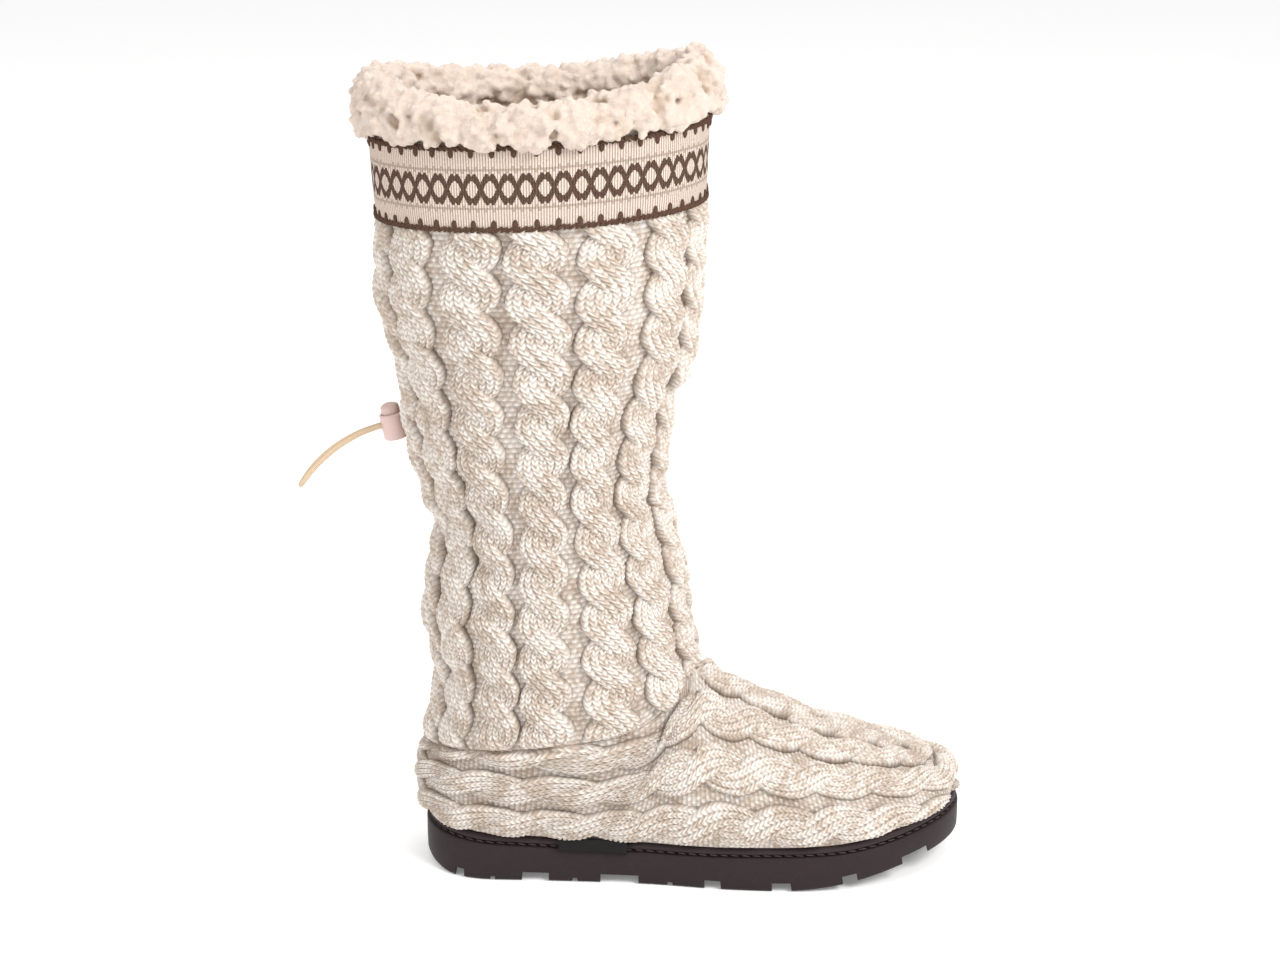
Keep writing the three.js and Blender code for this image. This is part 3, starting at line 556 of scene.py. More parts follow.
def foot_girth(share, down):
    """Girth of the foot at a number of cables down from the ridge."""
    heel = HEEL_CABLES + (FOOT_CABLES - HEEL_CABLES) * smooth_step(0.12, CORNER, share)
    toe = FOOT_CABLES + (TOE_CABLES - FOOT_CABLES) * smooth_step(0.7, 1, share)
    return np.where(share < CORNER, (FOOT_CABLES - down) / heel, 1 - down / toe)


# Meshes


def coordinates(mesh):
    values = np.empty(3 * len(mesh.vertices))
    mesh.vertices.foreach_get("co", values)
    return values.reshape(-1, 3)


def set_coordinates(mesh, values):
    mesh.vertices.foreach_set("co", np.ascontiguousarray(values, dtype=np.float32).ravel())
    mesh.update()


def mesh_from(bm, name):
    """A new mesh that takes up the bmesh, which is then freed."""
    mesh = bpy.data.meshes.new(name)
    bm.to_mesh(mesh)
    bm.free()
    return mesh


def painted(mesh, values):
    """Stores painted shade at each vertex as its yarn attribute: 1 where none is painted, 0 where it is
    darkest.
    """
    layer = mesh.attributes.new("yarn", "FLOAT", "POINT")
    layer.data.foreach_set("value", np.ascontiguousarray(values, dtype=np.float32))


def finished(name, mesh, finishes):
    """An object of that mesh at the origin, with its finishes."""
    mesh.name = name
    old = bpy.data.objects.get(name)
    if old:
        bpy.data.objects.remove(old)
    piece = bpy.data.objects.new(name, mesh)
    bpy.context.scene.collection.objects.link(piece)
    for finish in finishes:
        mesh.materials.append(finish)
    mesh.polygons.foreach_set("use_smooth", [True] * len(mesh.polygons))
    return piece


def mapped_grids(shapes, place, uv_place, paint=None, keep=None, weld=1e-6, material=None):
    """Grids of columns and rows made by operators, each vertex then moved to its place.

    place, uv_place, paint, keep and material take arrays of the grid's number, column and row.
    """
    bm = bmesh.new()
    bm.loops.layers.uv.new("Knit")
    for k, (columns, rows) in enumerate(shapes):
        level = Matrix.Translation((0, 0, k))
        bmesh.ops.create_grid(
            bm, x_segments=columns, y_segments=rows, size=1, matrix=level, calc_uvs=True
        )
    mesh = mesh_from(bm, "grid")
    raw = coordinates(mesh)
    size = np.array(shapes)
    number = np.rint(raw[:, 2]).astype(int)
    column = np.rint((raw[:, 0] + 1) * 0.5 * size[number, 0]).astype(int)
    row = np.rint((raw[:, 1] + 1) * 0.5 * size[number, 1]).astype(int)
    set_coordinates(mesh, place(number, column, row))
    corners = np.empty(len(mesh.loops), np.int32)
    mesh.loops.foreach_get("vertex_index", corners)
    flat = np.ascontiguousarray(uv_place(number, column, row)[corners], dtype=np.float32)
    mesh.uv_layers[0].data.foreach_set("uv", flat.ravel())
    if paint is not None:
        painted(mesh, paint(number, column, row))
    starts = np.empty(len(mesh.polygons), np.int32)
    mesh.polygons.foreach_get("loop_start", starts)
    quads = corners[starts[:, None] + np.arange(4)]
    first = number[quads[:, 0]], column[quads].min(1), row[quads].min(1)
    if material is not None:
        mesh.polygons.foreach_set("material_index", np.asarray(material(*first), np.int32))
    bm = bmesh.new()
    bm.from_mesh(mesh)
    if keep is not None:
        bm.faces.ensure_lookup_table()
        gone = [bm.faces[k] for k in np.flatnonzero(~keep(*first))]
        bmesh.ops.delete(bm, geom=gone, context="FACES")
    bmesh.ops.remove_doubles(bm, verts=bm.verts, dist=weld)
    bmesh.ops.dissolve_degenerate(bm, dist=1e-7, edges=bm.edges)
    rim = [e for e in bm.edges if e.is_boundary]
    bmesh.ops.holes_fill(bm, edges=rim, sides=64)
    bm.to_mesh(mesh)
    bm.free()
    return mesh


def face_outwards(mesh):
    bm = bmesh.new()
    bm.from_mesh(mesh)
    bmesh.ops.recalc_face_normals(bm, faces=bm.faces)
    if bm.calc_volume(signed=True) < 0:
        bmesh.ops.reverse_faces(bm, faces=bm.faces)
    bm.to_mesh(mesh)
    bm.free()
    return mesh


def repeated(pattern, matrices):
    """Copies of one small mesh, joined, each placed by its own matrix."""
    bm = bmesh.new()
    for _ in matrices:
        bm.from_mesh(pattern)
    mesh = mesh_from(bm, "repeated")
    stack = np.array(matrices, float)
    base = coordinates(pattern)
    moved = np.einsum("kij,nj->kni", stack[:, :3, :3], base) + stack[:, None, :3, 3]
    set_coordinates(mesh, moved.reshape(-1, 3))
    return mesh


def joined_meshes(first, second):
    """The second mesh, with the first one's faces before its own."""
    bm = bmesh.new()
    bm.from_mesh(first)
    bm.from_mesh(second)
    bm.to_mesh(second)
    bm.free()
    return second


def bead(length, width, height):
    """A rounded bead, longer along X."""
    bm = bmesh.new()
    bmesh.ops.create_icosphere(bm, subdivisions=2, radius=0.5)
    bmesh.ops.scale(bm, vec=(length, width, height), verts=bm.verts)
    return mesh_from(bm, "bead")


def frames_along(places, forward, outward, tilt=0.0):
    """Matrices with X along forward, Z outward, turned by tilt in the surface."""
    forward, outward = unit(forward), unit(outward)
    side = unit(np.cross(outward, forward))
    forward = np.cross(side, outward)
    tilt = np.broadcast_to(tilt, len(places))[:, None]
    turned = forward * np.cos(tilt) + side * np.sin(tilt)
    across = np.cross(outward, turned)
    result = np.zeros((len(places), 4, 4))
    result[:, :3, 0] = turned
    result[:, :3, 1] = across
    result[:, :3, 2] = outward
    result[:, :3, 3] = places
    result[:, 3, 3] = 1
    return result


def spun(profile, steps=64):
    """A closed solid of revolution about Z from (radius, height) pairs, from axis to axis."""
    bm = bmesh.new()
    verts = [bm.verts.new((radius, 0, height)) for radius, height in profile]
    edges = [bm.edges.new(pair) for pair in zip(verts, verts[1:])]
    bmesh.ops.spin(
        bm, geom=verts + edges, cent=(0, 0, 0), axis=(0, 0, 1), angle=TURN, steps=steps, use_merge=True
    )
    bmesh.ops.remove_doubles(bm, verts=bm.verts, dist=1e-7)
    bmesh.ops.recalc_face_normals(bm, faces=bm.faces)
    return mesh_from(bm, "spun")


def box_mesh(boxes):
    """Boxes from (middle, size, slope) rows, joined."""
    bm = bmesh.new()
    for middle, size, slope in boxes:
        made = bmesh.ops.create_cube(bm, size=1)["verts"]
        tilt = Matrix.Rotation(-math.atan(slope), 3, "Y")
        bmesh.ops.scale(bm, vec=size, verts=made)
        bmesh.ops.rotate(bm, cent=(0, 0, 0), matrix=tilt, verts=made)
        bmesh.ops.translate(bm, vec=middle, verts=made)
    return mesh_from(bm, "boxes")


def settled(piece):
    """Applies the piece's modifiers to its mesh."""
    bpy.context.view_layer.update()
    depsgraph = bpy.context.evaluated_depsgraph_get()
    result = bpy.data.meshes.new_from_object(piece.evaluated_get(depsgraph))
    name, old = piece.name, piece.data
    piece.modifiers.clear()
    piece.data = result
    bpy.data.meshes.remove(old)
    result.name = name
    return piece


def cut(piece, cutter_mesh):
    """Takes the cutter's shape out of the piece."""
    cutter = bpy.data.objects.new("cutter", cutter_mesh)
    bpy.context.scene.collection.objects.link(cutter)
    modifier = piece.modifiers.new("cut", "BOOLEAN")
    modifier.operation = "DIFFERENCE"
    modifier.solver = "MANIFOLD"
    modifier.object = cutter
    settled(piece)
    bpy.data.objects.remove(cutter)
    return piece


def rounded(piece, width, angle):
    """Rounds the piece's edges that turn by more than an angle."""
    modifier = piece.modifiers.new("edges", "BEVEL")
    modifier.width = width
    modifier.segments = 2
    modifier.limit_method = "ANGLE"
    modifier.angle_limit = math.radians(angle)
    modifier.harden_normals = False
    return settled(piece)


def sharp_above(piece, angle=50):
    """Smooth shading, kept sharp at edges over an angle."""
    bm = bmesh.new()
    bm.from_mesh(piece.data)
    for face in bm.faces:
        face.smooth = True
    for edge in bm.edges:
        edge.smooth = len(edge.link_faces) != 2 or edge.calc_face_angle(0) < math.radians(angle)
    bm.to_mesh(piece.data)
    bm.free()
    return piece


# Finishes


class Signal:
    """A shader socket that can stand in a sum or a product."""

    def __init__(self, finish, socket):
        self.finish = finish
        self.socket = socket

    def _maths(self, operation, *values):
        return self.finish.signal("ShaderNodeMath", {"operation": operation}, dict(enumerate(values)))

    def eased(self, low, high):
        return self.finish.signal(
            "ShaderNodeMapRange",
            {"interpolation_type": "SMOOTHSTEP", "clamp": True},
            {"Value": self, "From Min": low, "From Max": high, "To Min": 0.0, "To Max": 1.0},
        )


def forward_maths(operation):
    """A method of a signal that takes its other value, if any, second."""
    return lambda self, *others: self._maths(operation, self, *others)


def backward_maths(operation):
    """A method of a signal that takes its other value first."""
    return lambda self, other: self._maths(operation, other, self)


for method, operation in {
    "__add__": "ADD",
    "__sub__": "SUBTRACT",
    "__mul__": "MULTIPLY",
    "__truediv__": "DIVIDE",
    "__abs__": "ABSOLUTE",
    "__lt__": "LESS_THAN",
    "sine": "SINE",
    "floor": "FLOOR",
    "fraction": "FRACT",
    "least": "MINIMUM",
    "most": "MAXIMUM",
    "zigzag": "PINGPONG",
}.items():
    setattr(Signal, method, forward_maths(operation))
for method, operation in {"__radd__": "ADD", "__rsub__": "SUBTRACT", "__rmul__": "MULTIPLY"}.items():
    setattr(Signal, method, backward_maths(operation))


class Finish:
    """One material and the nodes that make it."""

    def __init__(self, name, **constants):
        old = bpy.data.materials.get(name)
        if old:
            bpy.data.materials.remove(old)
        self.material = bpy.data.materials.new(name)
        self.material.use_nodes = True
        self.tree = self.material.node_tree
        self.tree.nodes.clear()
        self.shader = self.node("ShaderNodeBsdfPrincipled", sockets=constants)
        output = self.node("ShaderNodeOutputMaterial")
        self.tree.links.new(self.shader.outputs["BSDF"], output.inputs["Surface"])

    def node(self, kind, settings=None, sockets=None):
        node = self.tree.nodes.new(kind)
        for key, value in (settings or {}).items():
            if key == "stops":
                ramp = node.color_ramp
                while len(ramp.elements) < len(value):
                    ramp.elements.new(1.0)
                for element, (place, colour) in zip(ramp.elements, value):
                    element.position = place
                    element.color = (*colour, 1)
            else:
                setattr(node, key, value)
        for key, value in (sockets or {}).items():
            if isinstance(value, Signal):
                self.tree.links.new(value.socket, node.inputs[key])
            else:
                node.inputs[key].default_value = value
        return node

    def signal(self, kind, settings=None, sockets=None, output=0):
        return Signal(self, self.node(kind, settings, sockets).outputs[output])

    def feed(self, **inputs):
        for key, value in inputs.items():
            self.tree.links.new(value.socket, self.shader.inputs[key.replace("_", " ")])
        return self.material

    def place(self):
        return self.signal("ShaderNodeTexCoord", output="Object")

    def uv(self):
        return self.split(self.signal("ShaderNodeUVMap", {"uv_map": "Knit"}))[:2]

    def split(self, vector):
        split = self.node("ShaderNodeSeparateXYZ", sockets={0: vector})
        return [Signal(self, split.outputs[k]) for k in range(3)]

    def joined(self, x, y, z=0.0):
        return self.signal("ShaderNodeCombineXYZ", sockets={0: x, 1: y, 2: z})

    # Reads the yarn attribute: how far each vertex is left out of painted shade, 0 where the shade is
    # darkest.
    def yarn(self):
        return self.signal("ShaderNodeAttribute", {"attribute_name": "yarn"}, output="Fac")

    def noise(self, vector, scale, detail=2.0, roughness=0.5, distortion=0.0):
        names = ("Vector", "Scale", "Detail", "Roughness", "Distortion")
        values = (vector, scale, detail, roughness, distortion)
        return self.signal("ShaderNodeTexNoise", sockets=dict(zip(names, values)))

    def mix(self, factor, first, second):
        sockets = {0: factor}
        for key, value in ((6, first), (7, second)):
            sockets[key] = value if isinstance(value, Signal) else (*value, 1)
        return self.signal("ShaderNodeMix", {"data_type": "RGBA"}, sockets, output=2)

    def ramp(self, factor, stops):
        return self.signal("ShaderNodeValToRGB", {"stops": stops}, {0: factor})

    def bump(self, height, distance, strength):
        sockets = {"Height": height, "Distance": distance, "Strength": strength}
        return self.signal("ShaderNodeBump", sockets=sockets)


def shade(colour, amount):
    return tuple(min(1.0, channel * amount) for channel in colour)


def knit_finish(colours):
    """Heathered yarn, with painted shade in the hollows between its stitches."""
    finish = Finish(
        "knit_yarn",
        **{
            "Roughness": 0.95,
            "Sheen Weight": 0.12,
            "Sheen Roughness": 0.5,
            "Sheen Tint": (1.0, 0.96, 0.9, 1),
            "Specular IOR Level": 0.15,
        },
    )
    across, along = finish.uv()
    space = finish.place()
    patches = finish.noise(space, 75, 2)
    streaks = finish.noise(finish.joined(across * 0.6, along * 0.3, patches * 3), 1.0, 2)
    fibres = finish.noise(finish.joined(across * 5.0, along * 1.4), 1.0, 3, 0.6)
    tone = patches * 0.3 + streaks * 0.4 + fibres * 0.3
    light, middle, dark = colours.knit_light[:], colours.knit[:], colours.knit_dark[:]
    heather = finish.ramp(tone, [(0.44, dark), (0.5, middle), (0.55, light)])
    # Painted shade: the colour is mixed towards a dark tan where the yarn attribute is low, in the
    # pinholes, between the stitches, at the strands' edges and on the ground under the cables.
    painted_shade = 1.0 - finish.yarn()
    colour = finish.mix(painted_shade * 0.82, heather, shade(dark, 0.3))
    fuzz = finish.noise(space, 2600, 3, 0.7)
    height = fibres * 0.7 + fuzz * 0.6
    return finish.feed(Base_Color=colour, Normal=finish.bump(height, 0.0004, 0.55))


def fleece_finish(name, colours, shaded_crevices=False):
    """Fleece, and for the cuff painted shade in its crevices."""
    finish = Finish(
        name,
        **{
            "Roughness": 1.0,
            "Sheen Weight": 0.4,
            "Sheen Roughness": 0.5,
            "Specular IOR Level": 0.1,
            "Subsurface Weight": 0.05,
            "Subsurface Radius": (1.0, 0.8, 0.6),
            "Subsurface Scale": 0.003,
        },
    )
    space = finish.place()
    broad = finish.noise(space, 120, 2)
    curls = finish.noise(space, 700, 4, 0.65, 1.2)
    fine = finish.noise(space, 2400, 2, 0.7)
    fleece = colours.fleece[:]
    stops = [(0.3, shade(fleece, 0.72)), (0.47, fleece), (0.62, shade(fleece, 1.1))]
    colour = finish.ramp(broad * 0.5 + curls * 0.5, stops)
    if shaded_crevices:
        # Painted shade in the cuff's crevices, where the fleece lies close to the cuff's body.
        colour = finish.mix((1.0 - finish.yarn()) * 0.85, colour, colours.fleece_crevice_shade[:])
    return finish.feed(Base_Color=colour, Normal=finish.bump(curls + fine * 0.4, 0.0014, 0.9))


def band_finish(colours, sizes):
    """Ribs of fine stitches with a dark chain of two waves and taupe zigzags beside it."""
    finish = Finish("patterned_band", **{"Roughness": 0.95, "Specular IOR Level": 0.05})
    around, up = finish.uv()
    rib, course = sizes.rib * 1000, sizes.course * 1000
    column = (around / rib).floor() * rib + 0.5 * rib
    row = (up / course).floor() * course + 0.5 * course
    middle = 0.5 * BAND_HEIGHT * 1000
    away = abs(row - middle)
    period = sizes.period * 1000
    reach = 0.5 * sizes.chain_height * 1000
    turn = around * (math.pi / period)
    wave = turn.sine() * 1.18
    wave = wave.least(1.0).most(-1.0) * reach
    signed = row * 0.6 + up * 0.4 - middle
    line = 1.25 + abs((turn + 0.5 * math.pi).sine()) * 1.7
    chain = (abs(signed - wave) < line).most(abs(signed + wave) < line)
    tooth = (column * (2 * 1.5 / (0.5 * period))).zigzag(1.5)
    taupe = abs(away - (reach + 3.0) - tooth * 0.9) < 0.8
    fleck = finish.noise(finish.joined(around * 1.7, up * 0.9), 1.0, 2)
    field = finish.ramp(fleck, [(0.35, shade(colours.band[:], 0.82)), (0.6, colours.band[:])])
    brown = colours.band_dark[:]
    dark = finish.ramp(fleck, [(0.35, shade(brown, 0.6)), (0.65, shade(brown, 1.25))])
    colour = finish.mix(taupe * 0.8, field, colours.band_taupe[:])
    ribs = abs((around / rib).fraction() - 0.5)
    steps = abs((up / course + ribs).fraction() - 0.5)
    groove = ribs.eased(0.25, 0.5)
    # Painted shade in the grooves between the ribs; the same grooves are also bumped.
    colour = finish.mix(groove * 0.6, colour, shade(colours.band[:], 0.3))
    colour = finish.mix(chain * 0.97, colour, dark)
    height = 1.0 - groove - steps * 0.5 + finish.noise(finish.place(), 2600, 2) * 0.4
    return finish.feed(Base_Color=colour, Normal=finish.bump(height, 0.0008, 0.85))


def yarn_finish(name, colour):
    """Twisted sewing yarn or thread."""
    finish = Finish(name, **{"Roughness": 0.95, "Specular IOR Level": 0.05})
    space = finish.place()
    fibres = finish.noise(space, 1800, 3, 0.65)
    tint = finish.ramp(fibres, [(0.3, shade(colour, 0.55)), (0.65, shade(colour, 1.15))])
    return finish.feed(Base_Color=tint, Normal=finish.bump(fibres, 0.0004, 0.6))


def rubber_finish(name, colour, roughness):
    """Matt rubber with a faint dust and a fine grain in level rows."""
    finish = Finish(name, **{"Specular IOR Level": 0.1})
    space = finish.place()
    z = finish.split(space)[2]
    cloud = finish.noise(space, 45, 3)
    grain = finish.noise(space, 2100, 3, 0.6)
    rows = ((z * 5200.0).sine() * 0.5 + 0.5) * 0.15
    dust = finish.noise(space, 160, 4, 0.7)
    tint = finish.mix(dust.eased(0.5, 0.75) * 0.16, colour, shade(colour, 2.1))
    tint = finish.mix(cloud * 0.35, tint, shade(colour, 0.7))
    rough = roughness + (grain - 0.5) * 0.25 + (cloud - 0.5) * 0.18
    relief = finish.bump(grain + rows, 0.00018, 0.5)
    return finish.feed(Base_Color=tint, Roughness=rough, Normal=relief)


def tag_finish(colour):
    """Black satin ribbon of a fine weave."""
    finish = Finish("tag_ribbon", **{"Specular IOR Level": 0.06})
    around, up = finish.uv()
    weave = ((around * 9.0).sine() * (up * 9.0).sine()) * 0.5 + 0.5
    fleck = finish.noise(finish.place(), 900, 3)
    tint = finish.mix(weave * 0.3 + fleck * 0.3, colour, shade(colour, 2.6))
    relief = finish.bump(weave, 0.00015, 0.5)
    return finish.feed(Base_Color=tint, Roughness=0.5 + fleck * 0.2, Normal=relief)


def plastic_finish(name, colour, roughness):
    constants = {"Specular IOR Level": 0.5, "Subsurface Weight": 0.05, "Subsurface Scale": 0.001}
    finish = Finish(name, **constants)
    space = finish.place()
    cloud = finish.noise(space, 260, 2)
    grain = finish.noise(space, 3200, 2)
    tint = finish.mix(cloud * 0.3, colour, shade(colour, 0.86))
    rough = roughness + (cloud - 0.5) * 0.14
    return finish.feed(Base_Color=tint, Roughness=rough, Normal=finish.bump(grain, 0.00004, 0.35))


def cord_finish(colour):
    """Braided elastic: fine carriers that cross at an angle."""
    constants = {"Roughness": 0.8, "Sheen Weight": 0.2, "Specular IOR Level": 0.25}
    finish = Finish("elastic_cord", **constants)
    around, along = finish.uv()
    left = ((along * 2.6 + around * 4.0) * math.pi).sine()
    right = ((along * 2.6 - around * 4.0) * math.pi).sine()
    braid = left.most(right) * 0.5 + 0.5
    fleck = finish.noise(finish.joined(around * 3.0, along * 2.0), 1.0, 2)
    tint = finish.ramp(braid * 0.6 + fleck * 0.4, [(0.2, shade(colour, 0.62)), (0.65, colour)])
    return finish.feed(Base_Color=tint, Normal=finish.bump(braid, 0.0003, 0.7))


def floor_finish(colour):
    """A plain studio floor that glows a little, like lit paper."""
    finish = Finish(
        "studio_floor",
        **{
            "Specular IOR Level": 0.2,
            "Emission Color": (1, 1, 1, 1),
            "Emission Strength": FLOOR_GLOW,
        },
    )
    cloud = finish.noise(finish.place(), 1.5, 2)
    tint = finish.mix(cloud * 0.04, colour, shade(colour, 0.96))
    return finish.feed(Base_Color=tint, Roughness=0.9 + cloud * 0.02)


# Sizes and colours that a user would change


def length(name, description, default):
    return FloatProperty(
        name=name, description=description, default=default, min=0, unit="LENGTH", precision=5
    )


def share_of_cable(name, description, default):
    return FloatProperty(name=name, description=description, default=default, subtype="FACTOR")


def colour(name, description, default):
    return FloatVectorProperty(
        name=name, description=description, default=default, size=3, min=0, max=1, subtype="COLOR"
    )


class BootKnitSizes(bpy.types.PropertyGroup):
    course: length("Course", "Height of one row of stitches", 0.0025)
    dome: length("Strand dome", "How far a cable strand stands above its edges", 0.0022)
    level: length("Strand level", "Mean height of a strand's edges over the wall", 0.0011)
    lift: length("Crossing lift", "How far a strand rises over the other one", 0.0011)
    stitch: length("Stitch depth", "Depth of the stitches on a strand", 0.0013)
    purl: length("Purl depth", "Height of the purl bumps between the cables", 0.0008)
    swing: share_of_cable("Swing", "Sideways swing of a strand, in cables", 0.2)
    half: share_of_cable("Half width", "Half width of a strand, in cables", 0.252)
    bulge: share_of_cable("Bulge", "How much wider a strand grows on top of the other", 0.42)


class BootBandSizes(bpy.types.PropertyGroup):
    rib: length("Rib", "Width of one rib of the band", 0.00125)
    course: length("Course", "Height of one stitch of the band", 0.0011)
    period: length("Chain period", "Length of one link of the dark chain", 0.008)
    chain_height: length("Chain height", "Height of the dark chain", 0.0102)
    braid_step: length("Braid step", "Distance between two stitches of the edge braid", 0.0024)
    tooth_step: length("Tooth step", "Distance between two teeth of the braid", 0.0083)


class BootCuffSizes(bpy.types.PropertyGroup):
    lock_length: length("Lock length", "Length of one tuft of fleece", 0.006)
    lock_width: length("Lock width", "Width of one bead of a tuft", 0.0043)
    voxel: length("Detail", "Size of the cells in which the tufts are fused", 0.00102)
    lock_count: IntProperty(name="Locks", description="Number of tufts on the cuff", default=900)
    seed: IntProperty(name="Seed", description="Order of the locks", default=11)


class BootSoleSizes(bpy.types.PropertyGroup):
    edge_round: length("Edge", "Radius of the small edges of the lugs", 0.0005)
    stitch_step: length("Stitch step", "Distance between two stitches of the groove", 0.0052)
    stitch_length: length("Stitch length", "Length of one stitch of the groove", 0.0042)
    thread: length("Thread", "Thickness of the sole's thread", 0.0006)


class BootColours(bpy.types.PropertyGroup):
    knit_light: colour("Knit, light", "Lightest strands of the yarn", (0.91, 0.845, 0.785))
    knit: colour("Knit", "Main colour of the yarn", (0.775, 0.685, 0.61))
    knit_dark: colour("Knit, dark", "Tan strands of the yarn", (0.58, 0.47, 0.38))
    fleece: colour("Fleece", "Cuff, lining and insole", (0.73, 0.605, 0.515))
    # Painted shade for the cuff's crevices, not a colour the fleece has.
    fleece_crevice_shade: colour("Fleece, deep", "Crevices of the cuff", (0.68, 0.54, 0.42))
    band: colour("Band", "Ground of the band", (0.74, 0.61, 0.52))
    band_dark: colour("Band, dark", "Dark brown yarn of the band", (0.1, 0.056, 0.04))
    band_taupe: colour("Band, taupe", "Faint zigzags of the band", (0.4, 0.31, 0.25))
    sole: colour("Sole", "Rubber of the sole", (0.029, 0.0205, 0.0215))
    rand: colour("Rand", "Rubber strip round the sole", (0.037, 0.027, 0.028))
    thread: colour("Thread", "Stitches of the sole", (0.085, 0.066, 0.062))
    tag: colour("Tag", "Ribbon of the tag", (0.01, 0.0095, 0.0095))
    barrel: colour("Barrel", "Barrel of the cord lock", (0.61, 0.44, 0.405))
    plunger: colour("Plunger", "Plunger of the cord lock", (0.56, 0.41, 0.365))
    cord: colour("Cord", "Elastic cord", (0.66, 0.5, 0.34))
    floor: colour("Floor", "Studio floor", (0.97, 0.97, 0.97))


# Stage


CAMERA_PLACE = (0.0712, -1.25, 0.59)
CAMERA_DIP = 17.49
LENS = 75.94
SENSOR = 36
CLIP_START = 0.05
FLOOR_HALF = 12
FLOOR_GLOW = 0.16
WORLD_STRENGTH = 0.76
LIT_PLACE = (0.06, 0, 0.18)

# Name, place, size, power and tint
LIGHTS = (
    ("key", (1.15, -1.1, 1.45), 0.8, 32, (1.0, 0.99, 0.975)),
    ("fill", (-1.3, -1.0, 1.2), 1.4, 11, (1.0, 0.99, 0.98)),
    ("top", (0.1, 0.5, 1.9), 1.6, 10, (1.0, 1.0, 1.0)),
)


class BOOT_OT_stage(bpy.types.Operator):
    """Camera, lights and floor of the studio"""

    bl_idname = "boot.stage"
    bl_label = "Stage"

    def execute(self, context):
        scene = context.scene
        camera = bpy.data.cameras.new("camera")
        camera.lens = LENS
        camera.sensor_width = SENSOR
        camera.clip_start = CLIP_START
        view = bpy.data.objects.new("camera", camera)
        view.location = CAMERA_PLACE
        view.rotation_euler = (math.radians(90 - CAMERA_DIP), 0, 0)
        scene.collection.objects.link(view)
        scene.camera = view
        self.floor(scene)
        for light in LIGHTS:
            self.light(scene, *light)
        world = bpy.data.worlds.new("studio")
        world.use_nodes = True
        background = world.node_tree.nodes["Background"]
        background.inputs["Color"].default_value = (1, 1, 1, 1)
        background.inputs["Strength"].default_value = WORLD_STRENGTH
        scene.world = world
        scene.view_settings.view_transform = "Standard"
        return {"FINISHED"}

    def floor(self, scene):
        bm = bmesh.new()
        bmesh.ops.create_grid(bm, x_segments=1, y_segments=1, size=FLOOR_HALF)
        finish = floor_finish(scene.boot_colours.floor[:])
        finished("floor", mesh_from(bm, "floor"), [finish])

    def light(self, scene, name, place, size, power, tint):
        data = bpy.data.lights.new(name, "AREA")
        data.size = size
        data.energy = power
        data.color = tint
        lamp = bpy.data.objects.new(name, data)
        lamp.location = place
        towards = Vector(LIT_PLACE) - Vector(place)
        lamp.rotation_euler = towards.to_track_quat("-Z", "Y").to_euler()
        scene.collection.objects.link(lamp)


# Cord and cord lock


LOCK_STAND_OFF = CABLE_RELIEF + SEAT_GAP + BARREL_RADIUS / math.cos(LOCK_TILT)
ROUTE_STEPS = 24
CORD_STEPS = 260
CORD_SIDES = 16
DOME_RISE = 0.0022
LOCK_EDGE = 0.00022

# Barrel's outer wall: how far inside its radius, and height over its floor or under its rim
BARREL_FOOT = ((0.0011, 0), (0.0004, 0.0003), (0.00005, 0.0009), (0, 0.0016))
BARREL_RIM = ((0, 0.0011), (0.00012, 0.0004), (0.00045, 0.0001))


def lock_matrix():
    """Where the cord lock stands, tilted, behind the shaft."""
    back = leg_point(0.0, LOCK_HEIGHT)[0]
    return (
        Matrix.Translation((back - LOCK_STAND_OFF, 0, LOCK_HEIGHT))
        @ Matrix.Rotation(-LOCK_TILT, 4, "Y")
        @ Matrix.Translation((0, 0, -0.5 * BARREL_HEIGHT))
    )


def cord_path():
    """The doubled cord's middle line, from the shaft round the free loop and back."""
    matrix = lock_matrix()
    reach = LOCK_STAND_OFF - WALL_GAP

    def strand(sign):
        beside = sign * 0.5 * STRAND_SPACING
        near = [matrix @ Vector((x, beside, CORD_LEVEL)) for x in (reach, 0.5 * reach, 0)]
        far = [
            matrix @ Vector((-back, sign * spread, CORD_LEVEL)) - Vector((0, 0, drop))
            for back, drop, spread in STRAND_ROUTE
        ]
        return near + far

    tip = matrix @ Vector((-LOOP_TIP[0], 0, CORD_LEVEL)) - Vector((0, 0, LOOP_TIP[1]))
    return np.array(strand(-1) + [tip] + strand(1)[::-1])


def rounded_route(knots, count):
    """A centripetal curve through the knots, in even steps."""
    ends = [2 * knots[0] - knots[1], *knots, 2 * knots[-1] - knots[-2]]
    fine = []
    for p0, p1, p2, p3 in zip(ends, ends[1:], ends[2:], ends[3:]):
        t0 = 0.0
        t1 = math.sqrt(np.linalg.norm(p1 - p0))
        t2 = t1 + math.sqrt(np.linalg.norm(p2 - p1))
        t3 = t2 + math.sqrt(np.linalg.norm(p3 - p2))
        for t in np.linspace(t1, t2, ROUTE_STEPS, endpoint=False):
            a1 = p0 * (t1 - t) / (t1 - t0) + p1 * (t - t0) / (t1 - t0)
            a2 = p1 * (t2 - t) / (t2 - t1) + p2 * (t - t1) / (t2 - t1)
            a3 = p2 * (t3 - t) / (t3 - t2) + p3 * (t - t2) / (t3 - t2)
            b1 = a1 * (t2 - t) / (t2 - t0) + a2 * (t - t0) / (t2 - t0)
            b2 = a2 * (t3 - t) / (t3 - t1) + a3 * (t - t1) / (t3 - t1)
            fine.append(b1 * (t2 - t) / (t2 - t1) + b2 * (t - t1) / (t2 - t1))
    fine = np.array([*fine, knots[-1]])
    lengths = run_lengths(fine)
    goal = np.linspace(0, lengths[-1], count + 1)
    return np.stack([np.interp(goal, lengths, fine[:, k]) for k in range(3)], 1), lengths[-1]


